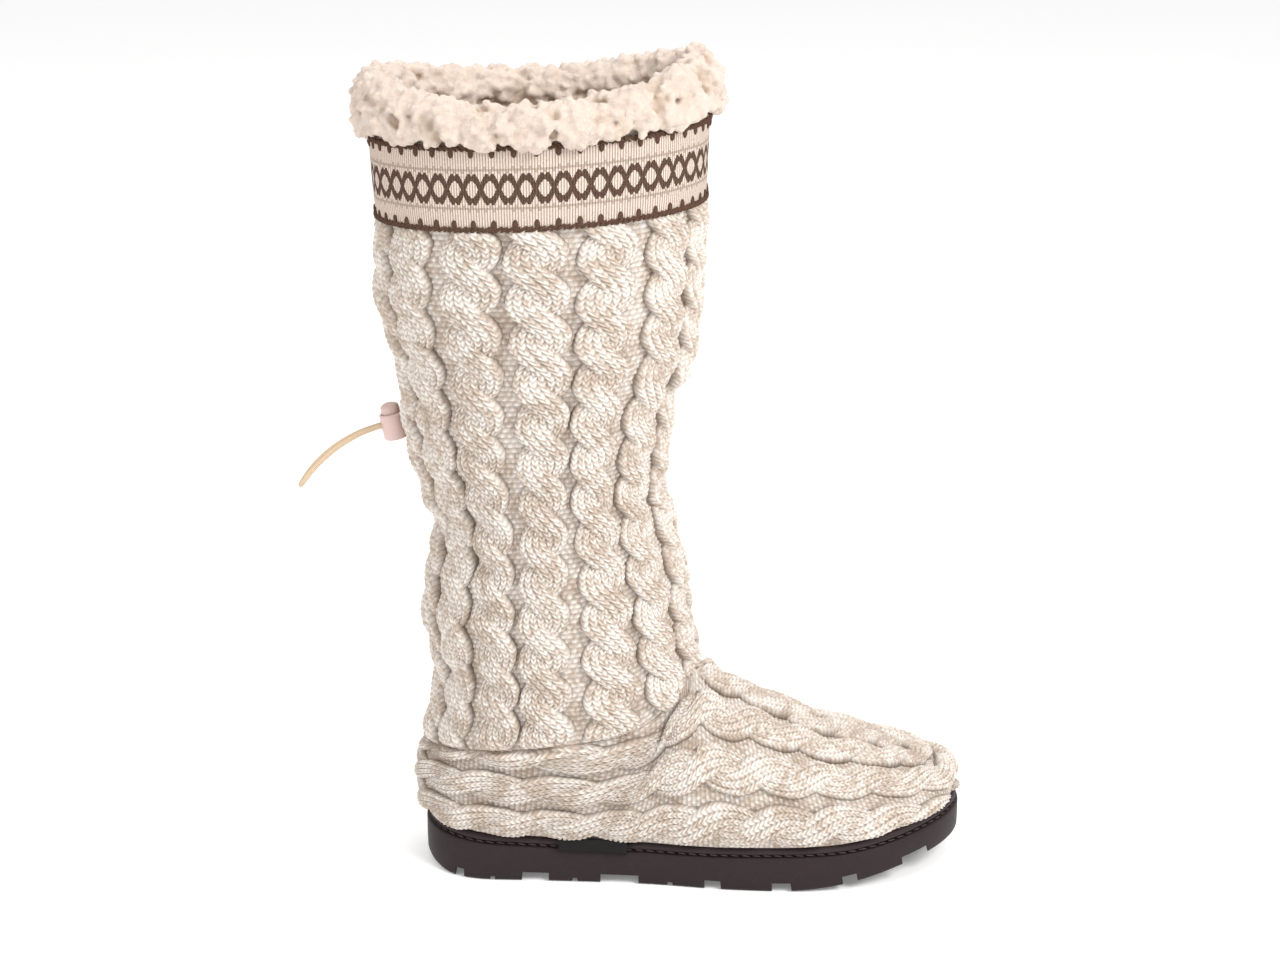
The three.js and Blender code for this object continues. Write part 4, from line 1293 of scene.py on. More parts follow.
def tube_mesh(path, radius, sides, total):
    """A round tube along a path, with its ends closed."""
    forward = unit(np.gradient(path, axis=0))
    side = [unit(np.cross(forward[0], (0.0, 0.0, 1.0)))]
    for step in forward[1:]:
        side.append(unit(side[-1] - step * np.dot(side[-1], step)))
    side = np.array(side)
    up = np.cross(forward, side)
    rows = len(path) - 1

    def place(number, column, row):
        angle = -TURN * column[:, None] / sides
        return path[row] + radius * (side[row] * np.cos(angle) + up[row] * np.sin(angle))

    def uv(number, column, row):
        return points(column / sides, row / rows * total * 1000)

    return face_outwards(mapped_grids([(sides, rows)], place, uv, weld=1e-7))


class BOOT_OT_draw_cord(bpy.types.Operator):
    """Doubled elastic cord with its free loop"""

    bl_idname = "boot.draw_cord"
    bl_label = "Draw cord"

    def execute(self, context):
        colours = context.scene.boot_colours
        path, total = rounded_route(cord_path(), CORD_STEPS)
        mesh = tube_mesh(path, 0.5 * CORD_DIAMETER, CORD_SIDES, total)
        cord = finished("elastic_draw_cord", mesh, [cord_finish(colours.cord[:])])
        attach(cord, "boot")
        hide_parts("draw_cord")
        return {"FINISHED"}


class BOOT_OT_cord_lock(bpy.types.Operator):
    """Barrel and sprung plunger of the cord lock"""

    bl_idname = "boot.cord_lock"
    bl_label = "Cord lock"

    def execute(self, context):
        colours = context.scene.boot_colours
        bore = BARREL_RADIUS - BARREL_WALL
        barrel = [
            (0, 0),
            *[(BARREL_RADIUS - inside, height) for inside, height in BARREL_FOOT],
            *[(BARREL_RADIUS - inside, BARREL_HEIGHT - drop) for inside, drop in BARREL_RIM],
            (bore + 0.0003, BARREL_HEIGHT),
            (bore, BARREL_HEIGHT - 0.0003),
            (bore, BARREL_FLOOR),
            (0, BARREL_FLOOR),
        ]
        radius = bore - PLUNGER_CLEARANCE
        half = 0.5 * CORD_DIAMETER + CORD_CLEARANCE
        bottom = CORD_LEVEL - half - PLUNGER_BRIDGE
        top = BARREL_HEIGHT + PLUNGER_RISE
        plunger = [
            (0, bottom),
            (radius - 0.0004, bottom),
            (radius, bottom + 0.0004),
            (radius, top - 0.0024),
        ]
        for angle in np.linspace(0.15, 1.45, 9):
            height = top - DOME_RISE + DOME_RISE * math.sin(angle)
            plunger.append((radius * math.cos(angle), height))
        plunger.append((0, top))
        self.make(
            "lock_barrel",
            barrel,
            (CORD_LEVEL - half, CORD_LEVEL + half),
            plastic_finish("barrel_plastic", colours.barrel[:], 0.32),
            ("boot", "cord_lock_barrel", "lock_barrel"),
        )
        self.make(
            "lock_plunger",
            plunger,
            (CORD_LEVEL - half, CORD_LEVEL + half + PLUNGER_TRAVEL),
            plastic_finish("plunger_plastic", colours.plunger[:], 0.38),
            ("plunger", "cord_lock_plunger", "lock_plunger"),
        )
        return {"FINISHED"}

    def make(self, name, profile, slot, finish, joins):
        body, node, slot_name = joins
        piece = finished(name, spun(profile), [finish])
        low, high = slot
        width = STRAND_SPACING + CORD_DIAMETER + 2 * CORD_CLEARANCE
        middle = (0, 0, 0.5 * (low + high))
        cut(piece, box_mesh([(middle, (4 * BARREL_RADIUS, width, high - low), 0.0)]))
        rounded(piece, LOCK_EDGE, 50)
        piece.data.transform(lock_matrix())
        sharp_above(piece)
        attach(piece, body)
        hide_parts(node)


# Knit


STRAND_COLUMNS = 16
STRAND_ROOT = -0.0012
SHAFT_TUCK = 0.0016
FOOT_TUCK = 0.0018
SEAM_TUCK = 0.0014
STITCH_LEAD = 0.85
GROUND_SINK = 0.0008
COLLAR_ROWS = 6
LINING_ROWS = 24
LINING_COLUMNS = 8
ROWS_PER_COURSE = 3
GUTTER_COLUMNS = 12
UNDER_COLUMNS = 2
GUTTER_HALF = 0.2
FOOT_ROPE = 0.95


def stitch_height(column, row):
    """Relief of knit stitches: two legs of a V for each stitch."""
    leg = np.array([0.0, 1.0, 0.5, 1.0])[column % 4]
    beat = np.array([0.0, 1.0, 0.85])[row % ROWS_PER_COURSE]
    return leg * beat


# Painted shade at each row and column of one stitch, as how much is left unshaded: darkest in the
# pinholes between the wales
STITCH_SHADE_ROWS = (
    (0.0, 0.5, 0.25, 0.5),
    (0.45, 1.0, 0.75, 1.0),
    (0.3, 1.0, 0.7, 1.0),
)


def stitch_unshaded(column, row):
    """Painted shade on a strand, as how much is left unshaded: darkest between the stitches and at the
    strand's edges.
    """
    unshaded = np.array(STITCH_SHADE_ROWS)[row % ROWS_PER_COURSE, column % 4]
    return unshaded * (1 - 0.85 * smooth_step(0.78, 1.0, np.abs(column / STRAND_COLUMNS * 2 - 1)))


def stitch_shift(column):
    """How many rows a column runs ahead, so that the stitches' legs slant."""
    return 0.5 * np.abs(column % 4 - 2) * ROWS_PER_COURSE * STITCH_LEAD


def stitched(sizes, lift, top, column, row):
    """A strand's lift with the relief of its stitches, weaker towards its edges."""
    return lift + sizes.stitch * stitch_height(column, row) * (0.3 + 0.7 * top) * (top > 0)


def strand_section(sizes, column, sign, turn_count):
    """Sideways place, in cables, and lift over the wall of a cable's strand."""
    phase = math.pi * turn_count
    over = sign * np.sin(phase)
    across = column / STRAND_COLUMNS * 2 - 1
    half = sizes.half * (1 + sizes.bulge * np.maximum(over, 0))
    centre = sign * sizes.swing * np.cos(phase)
    round_top = np.power(np.maximum(0, 1 - np.abs(across) ** 2.8), 0.6)
    lift = sizes.level + sizes.lift * over + sizes.dome * (1 + 0.15 * over) * round_top
    lift = np.where(np.abs(across) > 0.99, STRAND_ROOT, lift)
    return centre + half * across, lift, round_top


def purl_height(column, row):
    """Relief of the purl stitches of the ground."""
    course = row // ROWS_PER_COURSE
    beat = np.array([0.1, 1.0, 0.6])[row % ROWS_PER_COURSE]
    bump = 0.5 + 0.5 * np.cos(TURN * (column / 4 + 0.5 * (course % 2)))
    return beat * (0.3 + 0.7 * bump)


def ground_unshaded(in_gutter, column, row):
    """Painted shade on the ground, as how much is left unshaded: between the purl bumps in the gutters
    and all over under the cables.
    """
    return np.where(in_gutter, 0.22 + 0.75 * purl_height(column, row), 0.2)


def shaft_rows(sizes):
    courses = round((BAND_LOW - 0.7 * ANKLE_HEIGHT) / sizes.course)
    return courses * ROWS_PER_COURSE


def gutter_place(column):
    """Place in cables of a column of the ground: fine in the gutter and coarse under the cable."""
    span = GUTTER_COLUMNS + UNDER_COLUMNS
    cable, step = column // span, column % span
    in_gutter = step <= GUTTER_COLUMNS
    gutter = (step / GUTTER_COLUMNS * 2 - 1) * GUTTER_HALF
    under = GUTTER_HALF + (step - GUTTER_COLUMNS) / UNDER_COLUMNS * (1 - 2 * GUTTER_HALF)
    return cable + np.where(in_gutter, gutter, under), in_gutter


class BOOT_OT_shaft_knit(bpy.types.Operator):
    """Cable-knit shaft with its fleece lining"""

    bl_idname = "boot.shaft_knit"
    bl_label = "Shaft knit"

    def execute(self, context):
        sizes, colours = context.scene.boot_knit, context.scene.boot_colours
        yarn = knit_finish(colours)
        fleece = fleece_finish("sherpa_fleece", colours)
        self.ground(sizes, [yarn, fleece])
        for name, first in (("outer", 0), ("inner", CABLE_COUNT // 2)):
            self.cables(sizes, f"shaft_cables_{name}", first, CABLE_COUNT // 2, yarn)
        return {"FINISHED"}

    def ground(self, sizes, finishes):
        span = GUTTER_COLUMNS + UNDER_COLUMNS
        columns = CABLE_COUNT * span
        knit_rows = shaft_rows(sizes)
        top_row = knit_rows + COLLAR_ROWS
        rows = top_row + LINING_ROWS + 1

        def parts(column, row):
            turn = gutter_place(column)[0] / CABLE_COUNT
            low = seam_height(turn) + SEAM_GAP / 2
            high = band_bottom(turn) - SEAM_GAP
            top = leg_top(turn)
            knit = low + (high - low) * row / knit_rows
            collar = high + (top - high) * (row - knit_rows) / COLLAR_ROWS
            inside = top + (low - top) * (row - top_row - 1) / (LINING_ROWS - 1)
            over = np.where(row <= top_row, collar, inside)
            height = np.where(row <= knit_rows, knit, over)
            return turn, np.where(row == rows, low, height), low, high

        def place(number, column, row):
            turn, height, low, high = parts(column, row)
            in_gutter = gutter_place(column)[1]
            edge = smooth_step(0, 0.004, height - low) * smooth_step(-0.001, 0.006, high - height)
            on_knit = (row <= knit_rows) | (row == rows)
            bumps = sizes.purl * purl_height(column % span, row) * in_gutter * edge
            turned = -SEAM_TUCK * (1 - smooth_step(0, 0.0035, height - low))
            lift = np.where(on_knit, bumps + turned - GROUND_SINK * edge, 0)
            inside = (row > top_row) & (row < rows)
            outer = leg_surface(turn, height, lift)
            inner = leg_point(turn, height, -WALL)
            return np.where(inside[:, None], inner, outer)

        def uv(number, column, row):
            turn, height, _, _ = parts(column, row)
            return points(turn * 400, height * 1000)

        def paint(number, column, row):
            # Painted shade of the ground; none on the collar and the lining.
            unshaded = ground_unshaded(gutter_place(column)[1], column % span, row)
            return np.where(row > knit_rows, 1, unshaded)

        def material(number, column, row):
            return (row >= top_row).astype(int)

        mesh = mapped_grids([(columns, rows)], place, uv, paint=paint, material=material)
        piece = finished("shaft_ground", face_outwards(mesh), finishes)
        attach(piece, "boot")
        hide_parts("shaft")

    def cables(self, sizes, name, first, count, finish):
        rows = shaft_rows(sizes)
        shapes = [(STRAND_COLUMNS + 1, rows)] * (2 * count)

        def parts(number, column, row):
            column = column % (STRAND_COLUMNS + 1)
            cable = first + number // 2 + 0.5
            sign = 1 - 2 * (number % 2)
            middle = cable / CABLE_COUNT
            low = seam_height(middle) - 0.001
            high = band_bottom(middle) + 0.003
            step = (high - low) / rows
            height = low + step * np.clip(row + stitch_shift(column), 0, rows)
            drift = 0.12 * np.sin(1.7 * number // 2 + 19 * height) * np.sin(43 * height + cable)
            beats = height / CABLE_TURN + drift * 0.5
            across, lift, top = strand_section(sizes, column, sign, beats)
            turn = (cable + across + 0.05 * np.sin(26 * height + 2.3 * cable)) / CABLE_COUNT
            return turn, height, lift, top, column

        def place(number, column, row):
            turn, height, lift, top, column = parts(number, column, row)
            lift = stitched(sizes, lift, top, column, row)
            foot = smooth_step(-0.001, 0.0045, height - seam_height(turn))
            under_band = smooth_step(-0.0035, 0.004, band_bottom(turn) - height)
            lift = (lift + SHAFT_TUCK) * foot * (0.25 + 0.75 * under_band) - SHAFT_TUCK
            return leg_surface(turn, height, lift)

        def uv(number, column, row):
            height = parts(number, column, row)[1]
            return points(column * 0.9 + number * 37, height * 1000)

        def paint(number, column, row):
            # Painted shade between the stitches and at the strand's edges.
            return stitch_unshaded(column % (STRAND_COLUMNS + 1), row)

        mesh = mapped_grids(shapes, place, uv, paint=paint)
        piece = finished(name, face_outwards(mesh), [finish])
        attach(piece, "boot")


class BOOT_OT_foot_knit(bpy.types.Operator):
    """Cable-knit foot with its fleece lining"""

    bl_idname = "boot.foot_knit"
    bl_label = "Foot knit"

    def execute(self, context):
        sizes, colours = context.scene.boot_knit, context.scene.boot_colours
        yarn, fleece = bpy.data.materials["knit_yarn"], bpy.data.materials["sherpa_fleece"]
        self.half_rows = 2 * round(WALK / sizes.course / 2) * ROWS_PER_COURSE
        self.crossings = round(WALK / FOOT_CABLE_TURN)
        self.ground(sizes, [yarn, fleece])
        self.cables(sizes, yarn)
        return {"FINISHED"}

    def ground(self, sizes, finishes):
        span = GUTTER_COLUMNS + UNDER_COLUMNS
        outer_columns = int(FOOT_CABLES * span) + GUTTER_COLUMNS
        columns = outer_columns + 3 + LINING_COLUMNS + 1
        rows = 2 * self.half_rows

        def downs(column):
            cable = (np.minimum(column, outer_columns) + UNDER_COLUMNS / 2) / span
            whole = np.floor(cable)
            step = (cable - whole) * span
            under = (step / UNDER_COLUMNS - 0.5) * (1 - 2 * GUTTER_HALF)
            fine = 0.5 - GUTTER_HALF + (step - UNDER_COLUMNS) / GUTTER_COLUMNS * 2 * GUTTER_HALF
            return whole + np.where(step < UNDER_COLUMNS, under, fine), step >= UNDER_COLUMNS - 1e-9

        def place(number, column, row):
            walk = row / self.half_rows - 1
            share = np.abs(walk)
            down, in_gutter = downs(column)
            down = np.maximum(0, down)
            girth = foot_girth(share, down)
            over_top = 1 - girth + (share > CORNER)
            inside_range = smooth_step(0, 0.03, girth) * smooth_step(0, 0.03, over_top)
            bumps = sizes.purl * purl_height(column + 2, row) * in_gutter * inside_range
            at_seam = share < CORNER + 0.01
            tuck = SEAM_TUCK * (1 - smooth_step(0, 0.06, 1 - girth)) * at_seam
            lift = bumps - GROUND_SINK * inside_range - tuck
            result = FOOT.place(walk, np.clip(girth, 0, 1), lift)
            foot = column - outer_columns
            insets = RAND_INSET + RAND_THICKNESS + SEAT_GAP + WALL * (foot >= 3)
            inner = (walk < 0)[:, None]
            flat = np.where(inner, EDGES[1].point(share, insets), EDGES[-1].point(share, insets))
            at = sole_share(np.where(inner, EDGES[1].locate(share), EDGES[-1].locate(share)))
            level = np.where(foot == 1, rand_top(at) + SEAT_GAP, sole_top(at) + SEAT_GAP)
            skirt = points(flat[:, 0], flat[:, 1], level)
            result = np.where(((foot >= 1) & (foot <= 3))[:, None], skirt, result)
            inner_girth = np.clip((foot - 4) / (LINING_COLUMNS - 1), 0, 1)
            lining = FOOT.place(walk, inner_girth, np.full(len(walk), -WALL))
            result = np.where((foot >= 4)[:, None], lining, result)
            top_girth = np.clip(foot_girth(share, np.zeros_like(share)), 0, 1)
            top = FOOT.place(walk, top_girth, -SEAM_TUCK * at_seam)
            return np.where((foot == 4 + LINING_COLUMNS)[:, None], top, result)

        def uv(number, column, row):
            return points(column * 1.1, row / self.half_rows * WALK * 1000)

        def paint(number, column, row):
            # Painted shade of the ground; none on the skirt and the lining.
            unshaded = ground_unshaded(downs(column)[1], column + 2, row)
            return np.where(column > outer_columns, 1, unshaded)

        def material(number, column, row):
            return (column >= outer_columns + 3).astype(int)

        def keep(number, column, row):
            past_seam = np.abs((row + 0.5) / self.half_rows - 1) > CORNER
            return ~((column == columns - 1) & past_seam)

        mesh = mapped_grids(
            [(columns, rows)], place, uv, paint=paint, material=material, keep=keep, weld=1e-5
        )
        piece = finished("foot_ground", face_outwards(mesh), finishes)
        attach(piece, "boot")
        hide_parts("foot_upper")

    def cables(self, sizes, finish):
        loops = [cable for cable in (1, 2, 3) for _ in (0, 1)]
        full = 2 * self.half_rows
        ridge = self.half_rows // 2
        shapes = [(STRAND_COLUMNS + 1, full)] * len(loops) + [(STRAND_COLUMNS + 1, ridge)] * 2
        cable_of = np.array([*loops, 0, 0])

        def parts(number, column, row):
            column = column % (STRAND_COLUMNS + 1)
            on_ridge = number >= len(loops)
            sign = 1 - 2 * (number % 2)
            ahead = (row + stitch_shift(column)) / self.half_rows
            walk = np.where(on_ridge, np.minimum(CORNER + ahead, 1), ahead % 2 - 1)
            beats = (walk + 1) * self.crossings
            across, lift, top = strand_section(sizes, column, sign, beats)
            down = cable_of[number] + across * FOOT_ROPE
            side = np.where(on_ridge & (down < 0), -1, 1)
            return walk, np.abs(down), side, lift, top, column, on_ridge

        def place(number, column, row):
            walk, down, side, lift, top, column, on_ridge = parts(number, column, row)
            share = np.abs(walk)
            girth = foot_girth(share, down)
            lift = stitched(sizes, lift, top, column, row)
            low = smooth_step(0.0, 0.05, girth)
            high = np.where(share < CORNER, smooth_step(0.0, 0.05, 1 - girth), 1)
            start = smooth_step(0, 0.02, np.where(on_ridge, share - CORNER, 1))
            end = smooth_step(0, 0.035, np.where(on_ridge, 1 - share, 1))
            lift = (lift + FOOT_TUCK) * low * high * start * end - FOOT_TUCK
            return FOOT.place(walk * side, squeezed(girth), lift)

        def uv(number, column, row):
            return points(column * 0.8 + number * 41, row / self.half_rows * WALK * 1000)

        def paint(number, column, row):
            # Painted shade between the stitches and at the strand's edges.
            return stitch_unshaded(column % (STRAND_COLUMNS + 1), row)

        mesh = mapped_grids(shapes, place, uv, paint=paint)
        piece = finished("foot_cables", face_outwards(mesh), [finish])
        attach(piece, "boot")


# Band and cuff


BAND_EDGE = 0.0005
BAND_CORNER = 0.0006
BAND_ROWS = 28
BAND_COLUMNS = 320
BRAID_INSET = 0.0007
BRAID_STAND = 0.0005
BRAID_WIDTH = 0.0016
BRAID_HEIGHT = 0.0015
BRAID_TILT = 0.62
TOOTH_SIZE = (0.0046, 0.0027, 0.0014)
TOOTH_REACH = 0.0022
UNDERLAY = 0.0002
CUFF_COLUMNS = 120
# Height over the cuff's body over which the painted crevice shade fades out
CREVICE_FLOOR = 0.001
CREVICE_TOP = 0.005
LOCK_STAND = 0.003
LOCK_LEAN = 0.55
TUFT_BEADS = 5
TUFT_WINDING = 2.4

# Share of the tufts on each part of the cuff's section, from the hem outside to the inside
LOCK_WEIGHTS = (0.4, 1.0, 1.1, 1.0, 1.2, 2.6, 0.8)


class BOOT_OT_band(bpy.types.Operator):
    """Patterned band with its braided edges"""

    bl_idname = "boot.band"
    bl_label = "Band"

    def execute(self, context):
        sizes, colours = context.scene.boot_band, context.scene.boot_colours
        outside = SEAM_GAP + BAND_THICKNESS
        profile = [(SEAM_GAP, 0.0), (outside - BAND_EDGE, 0.0)]
        profile += [
            (outside, rise) for rise in np.linspace(BAND_CORNER, BAND_HEIGHT - BAND_CORNER, BAND_ROWS)
        ]
        profile += [(outside - BAND_EDGE, BAND_HEIGHT), (SEAM_GAP, BAND_HEIGHT)]
        profile = np.array(profile)
        turns = np.linspace(0, 1, BAND_COLUMNS + 1)
        arc = run_lengths(leg_point(turns, band_bottom(turns) + 0.5 * BAND_HEIGHT))
        period = arc[-1] / round(arc[-1] / sizes.period)
        arc = arc * (sizes.period / period)

        def place(number, column, row):
            turn = column / BAND_COLUMNS
            offset, rise = profile[row % len(profile)].T
            swell = 0.0006 * np.sin(5 * TURN * turn + 3) + 0.0004 * np.sin(11 * TURN * turn)
            swell = swell * np.sin(math.pi * rise / BAND_HEIGHT)
            offset = offset + np.where(offset > 2 * SEAM_GAP, np.abs(swell), 0)
            return leg_point(turn, band_bottom(turn) + rise, offset)

        def uv(number, column, row):
            return points(arc[column] * 1000, profile[row % len(profile)][:, 1] * 1000)

        mesh = mapped_grids([(BAND_COLUMNS, len(profile))], place, uv)
        piece = finished("patterned_band", face_outwards(mesh), [band_finish(colours, sizes)])
        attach(piece, "boot")
        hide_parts("band")
        yarn = yarn_finish("braid_yarn", colours.band_dark[:])
        self.braid("band_braid_lower", BRAID_INSET, 1, arc[-1], sizes, yarn)
        self.braid("band_braid_upper", BAND_HEIGHT - BRAID_INSET, -1, arc[-1], sizes, yarn)
        return {"FINISHED"}

    def rail(self, turn, rise, offset):
        """Places on the band at a rise, with their forward and outward directions."""
        height = band_bottom(turn) + rise
        forward = leg_point(turn + 0.002, height) - leg_point(turn - 0.002, height)
        return leg_point(turn, height, offset), forward, leg_normal(turn, height)

    def braid(self, name, rise, inward, around, sizes, finish):
        """Slanted stitches over the band's edge, with short teeth that point into the band."""
        count = round(around / sizes.braid_step)
        offset = SEAM_GAP + BAND_THICKNESS + BRAID_STAND
        places, forward, outward = self.rail(np.arange(count) / count, rise, offset)
        slant = bead(1.9 * sizes.braid_step, BRAID_WIDTH, BRAID_HEIGHT)
        runs = frames_along(places, forward, outward, BRAID_TILT * inward)
        back = frames_along(places - outward * UNDERLAY, forward, outward, -BRAID_TILT * inward)
        edge = repeated(slant, [*runs, *back[::2]])
        count = round(around / sizes.tooth_step)
        turn = (np.arange(count) + 0.5) / count
        rail = self.rail(turn, rise + inward * TOOTH_REACH, offset - UNDERLAY)
        teeth = repeated(bead(*TOOTH_SIZE), frames_along(*rail, math.pi / 2))
        piece = finished(name, joined_meshes(edge, teeth), [finish])
        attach(piece, "boot")


class BOOT_OT_cuff(bpy.types.Operator):
    """Fleece cuff of fused locks"""

    bl_idname = "boot.cuff"
    bl_label = "Cuff"

    def execute(self, context):
        sizes = context.scene.boot_cuff
        finish = fleece_finish("sherpa_curls", context.scene.boot_colours, shaded_crevices=True)
        body = self.body()
        fleece = joined_meshes(body, repeated(self.lock(sizes), self.places(sizes)))
        piece = finished("fleece_cuff", fleece, [finish])
        remesh = piece.modifiers.new("fuse", "REMESH")
        remesh.mode = "VOXEL"
        remesh.voxel_size = sizes.voxel
        smooth = piece.modifiers.new("soften", "SMOOTH")
        smooth.factor = 0.5
        smooth.iterations = 1
        settled(piece)
        self.paint_crevice_shade(piece.data, body)
        bpy.data.meshes.remove(body)
        piece.data.materials.clear()
        piece.data.materials.append(finish)
        piece.data.polygons.foreach_set("use_smooth", [True] * len(piece.data.polygons))
        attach(piece, "boot")
        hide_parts("cuff")
        return {"FINISHED"}

    def paint_crevice_shade(self, mesh, body):
        """Paints shade into the crevices, from how far each vertex stands over the cuff's body."""
        faces = [tuple(face.vertices) for face in body.polygons]
        tree = BVHTree.FromPolygons(coordinates(body).tolist(), faces)
        away = np.array([tree.find_nearest(vert.co)[3] for vert in mesh.vertices])
        painted(mesh, smooth_step(CREVICE_FLOOR, CREVICE_TOP, away))

    def section(self):
        """Offsets from the leg and shares of the way from the band to the cuff's top."""
        clear = SEAM_GAP + BAND_THICKNESS + SEAT_GAP
        inward = -WALL - SEAM_GAP
        return (
            (clear, "hem", 0.14),
            (0.5 * CUFF_BULGE, "hem", 0.22),
            (0.6 * CUFF_BULGE, "hem", 0.4),
            (0.5 * CUFF_BULGE, "hem", 0.72),
            (0.1 * CUFF_BULGE, "hem", 0.93),
            (inward - 0.15 * CUFF_INNER_THICKNESS, "hem", 0.9),
            (inward - 0.72 * CUFF_INNER_THICKNESS, "hem", 0.45),
            (inward - 0.6 * CUFF_INNER_THICKNESS, "low", 0.0),
            (inward, "low", 0.0),
            (inward, "top", 0.0),
            (SEAM_GAP, "top", 0.0),
            (SEAM_GAP, "hem", 0.14),
        )

    def height(self, kind, share, turn):
        band_top = band_bottom(turn) + BAND_HEIGHT
        if kind == "hem":
            return band_top + share * (cuff_top(turn) - band_top)
        if kind == "low":
            return leg_top(turn) - CUFF_INNER_DROP
        return leg_top(turn) + SEAM_GAP

    def body(self):
        section = self.section()

        def place(number, column, row):
            turn = column / CUFF_COLUMNS
            result = np.empty((len(turn), 3))
            for k, (offset, kind, share) in enumerate(section):
                mask = row % len(section) == k
                result[mask] = leg_point(turn[mask], self.height(kind, share, turn[mask]), offset)
            return result

        def uv(number, column, row):
            return points(column * 4.0, row * 8.0)

        return face_outwards(mapped_grids([(CUFF_COLUMNS, len(section))], place, uv))

    def lock(self, sizes):
        """One tuft of fleece: a bead with smaller beads that wind up round it."""
        single = bead(sizes.lock_width, sizes.lock_width, sizes.lock_width)
        steps = [np.array(Matrix.Scale(1.2, 4))]
        for k in range(TUFT_BEADS):
            level = 1 - 1.5 * (k + 0.5) / TUFT_BEADS
            ring = math.sqrt(1 - level * level)
            angle = TUFT_WINDING * k
            towards = Vector((1.25 * ring * math.cos(angle), ring * math.sin(angle), level))
            size = Matrix.Scale(0.72 + 0.2 * (k % 3), 4)
            steps.append(np.array(Matrix.Translation(towards * 0.5 * sizes.lock_length) @ size))
        return repeated(single, steps)

    def places(self, sizes):
        """Locks scattered over the outside, the top and the inside of the cuff."""
        draw = np.random.default_rng(sizes.seed)
        section = self.section()
        count = sizes.lock_count
        weights = np.array(LOCK_WEIGHTS)
        kinds = draw.choice(len(weights), count, p=weights / weights.sum())
        turn = draw.random(count)
        between = draw.random(count)
        first, second, ahead = (np.empty((count, 3)) for _ in range(3))
        for k in range(len(weights)):
            mask = kinds == k
            for store, row, step in ((first, k, 0), (second, k + 1, 0), (ahead, k, 0.004)):
                offset, kind, share = section[row]
                around = turn[mask] + step
                store[mask] = leg_point(around, self.height(kind, share, around), offset)
        places = first + (second - first) * between[:, None]
        along = unit(ahead - first)
        down = unit(second - first)
        outward = unit(np.cross(down, along))
        ring = unit(points(places[:, 0] - LEG_AXIS, places[:, 1], 0))
        facing = (outward * ring).sum(1)
        facing = np.where(kinds <= 3, facing, 1e-6 - facing)
        facing = np.where(kinds == 4, outward[:, 2], facing)
        outward = outward * np.sign(facing)[:, None]
        tilt = draw.random(count) * TURN
        stand = LOCK_STAND * draw.random(count)[:, None]
        matrices = frames_along(places + outward * stand, along, outward, tilt)
        size = 0.75 + 0.5 * draw.random(count)
        matrices[:, :3, :3] *= size[:, None, None]
        lean = draw.random(count) * 2 * LOCK_LEAN - LOCK_LEAN
        spin = np.stack([np.array(Matrix.Rotation(angle, 4, "Y")) for angle in lean])
        return matrices @ spin


# Sole


SOLE_COLUMNS = 110
RAND_COLUMNS = 130
INSOLE_COLUMNS = 80
SLOPE_STEP = 0.01
CHANNEL_OVERRUN = 0.3
GROOVE_LEVEL = 0.17
THREAD_TILT = 0.1
STITCH_REACH = 0.004
TAG_COLUMNS = 48
TAG_ROWS = 20
TAG_THICKNESS = 0.00045

# Outsole's rounded lower and upper edges: inset, and height over its bottom or under its top
SOLE_FOOT = ((0.0022, 0.0), (0.0012, 0.0004), (0.0005, 0.0013), (0.0001, 0.0024))
SOLE_SHOULDER = ((0.0, 0.0014), (0.0002, 0.0006), (0.0006, 0.00015), (SHOULDER_INSET, 0.0))

# Rand's section: inset from its own edge and share of its height
RAND_SECTION = (
    (0.0024, 0.0),
    (0.002, 0.06),
    (0.0018, 0.2),
    (0.0004, 0.27),
    (-0.0001, 0.36),
    (-0.0001, 0.5),
    (0.0002, 0.72),
    (0.0009, 0.9),
    (0.0018, 0.98),
    (0.0028, 0.97),
    (RAND_THICKNESS, 0.95),
    (RAND_THICKNESS, 0.0),
)

# Insole's section: inset and share of its thickness
INSOLE_SECTION = (
    (0.0006, 0.0),
    (0.0, 0.2),
    (0.0, 0.65),
    (0.0006, 0.88),
    (0.002, 1.0),
    (0.008, 1.06),
)


def grid_uv(number, column, row):
    return points(column * 1.0, row * 1.0)


def rim_body(half_count, rings):
    """A closed slab in the sole's outline from (inset, height of a share) rings, bottom to top."""
    rows = len(rings) + 1

    def place(number, column, row):
        result = np.empty((len(column), 3))
        for r in range(rows + 1):
            mask = row == r
            inset, height = rings[min(max(r - 1, 0), len(rings) - 1)]
            rim, at, centre = sole_rim(column[mask], half_count, np.full(mask.sum(), inset))
            if r in (0, rows):
                rim[:, 0] = np.clip(at * SOLE_LENGTH, inset, SOLE_LENGTH - inset) - SOLE_BACK
                rim[:, 1] = centre
            result[mask] = points(rim[:, 0], rim[:, 1], height(at))
        return result

    return face_outwards(mapped_grids([(2 * half_count, rows)], place, grid_uv, weld=2e-6))


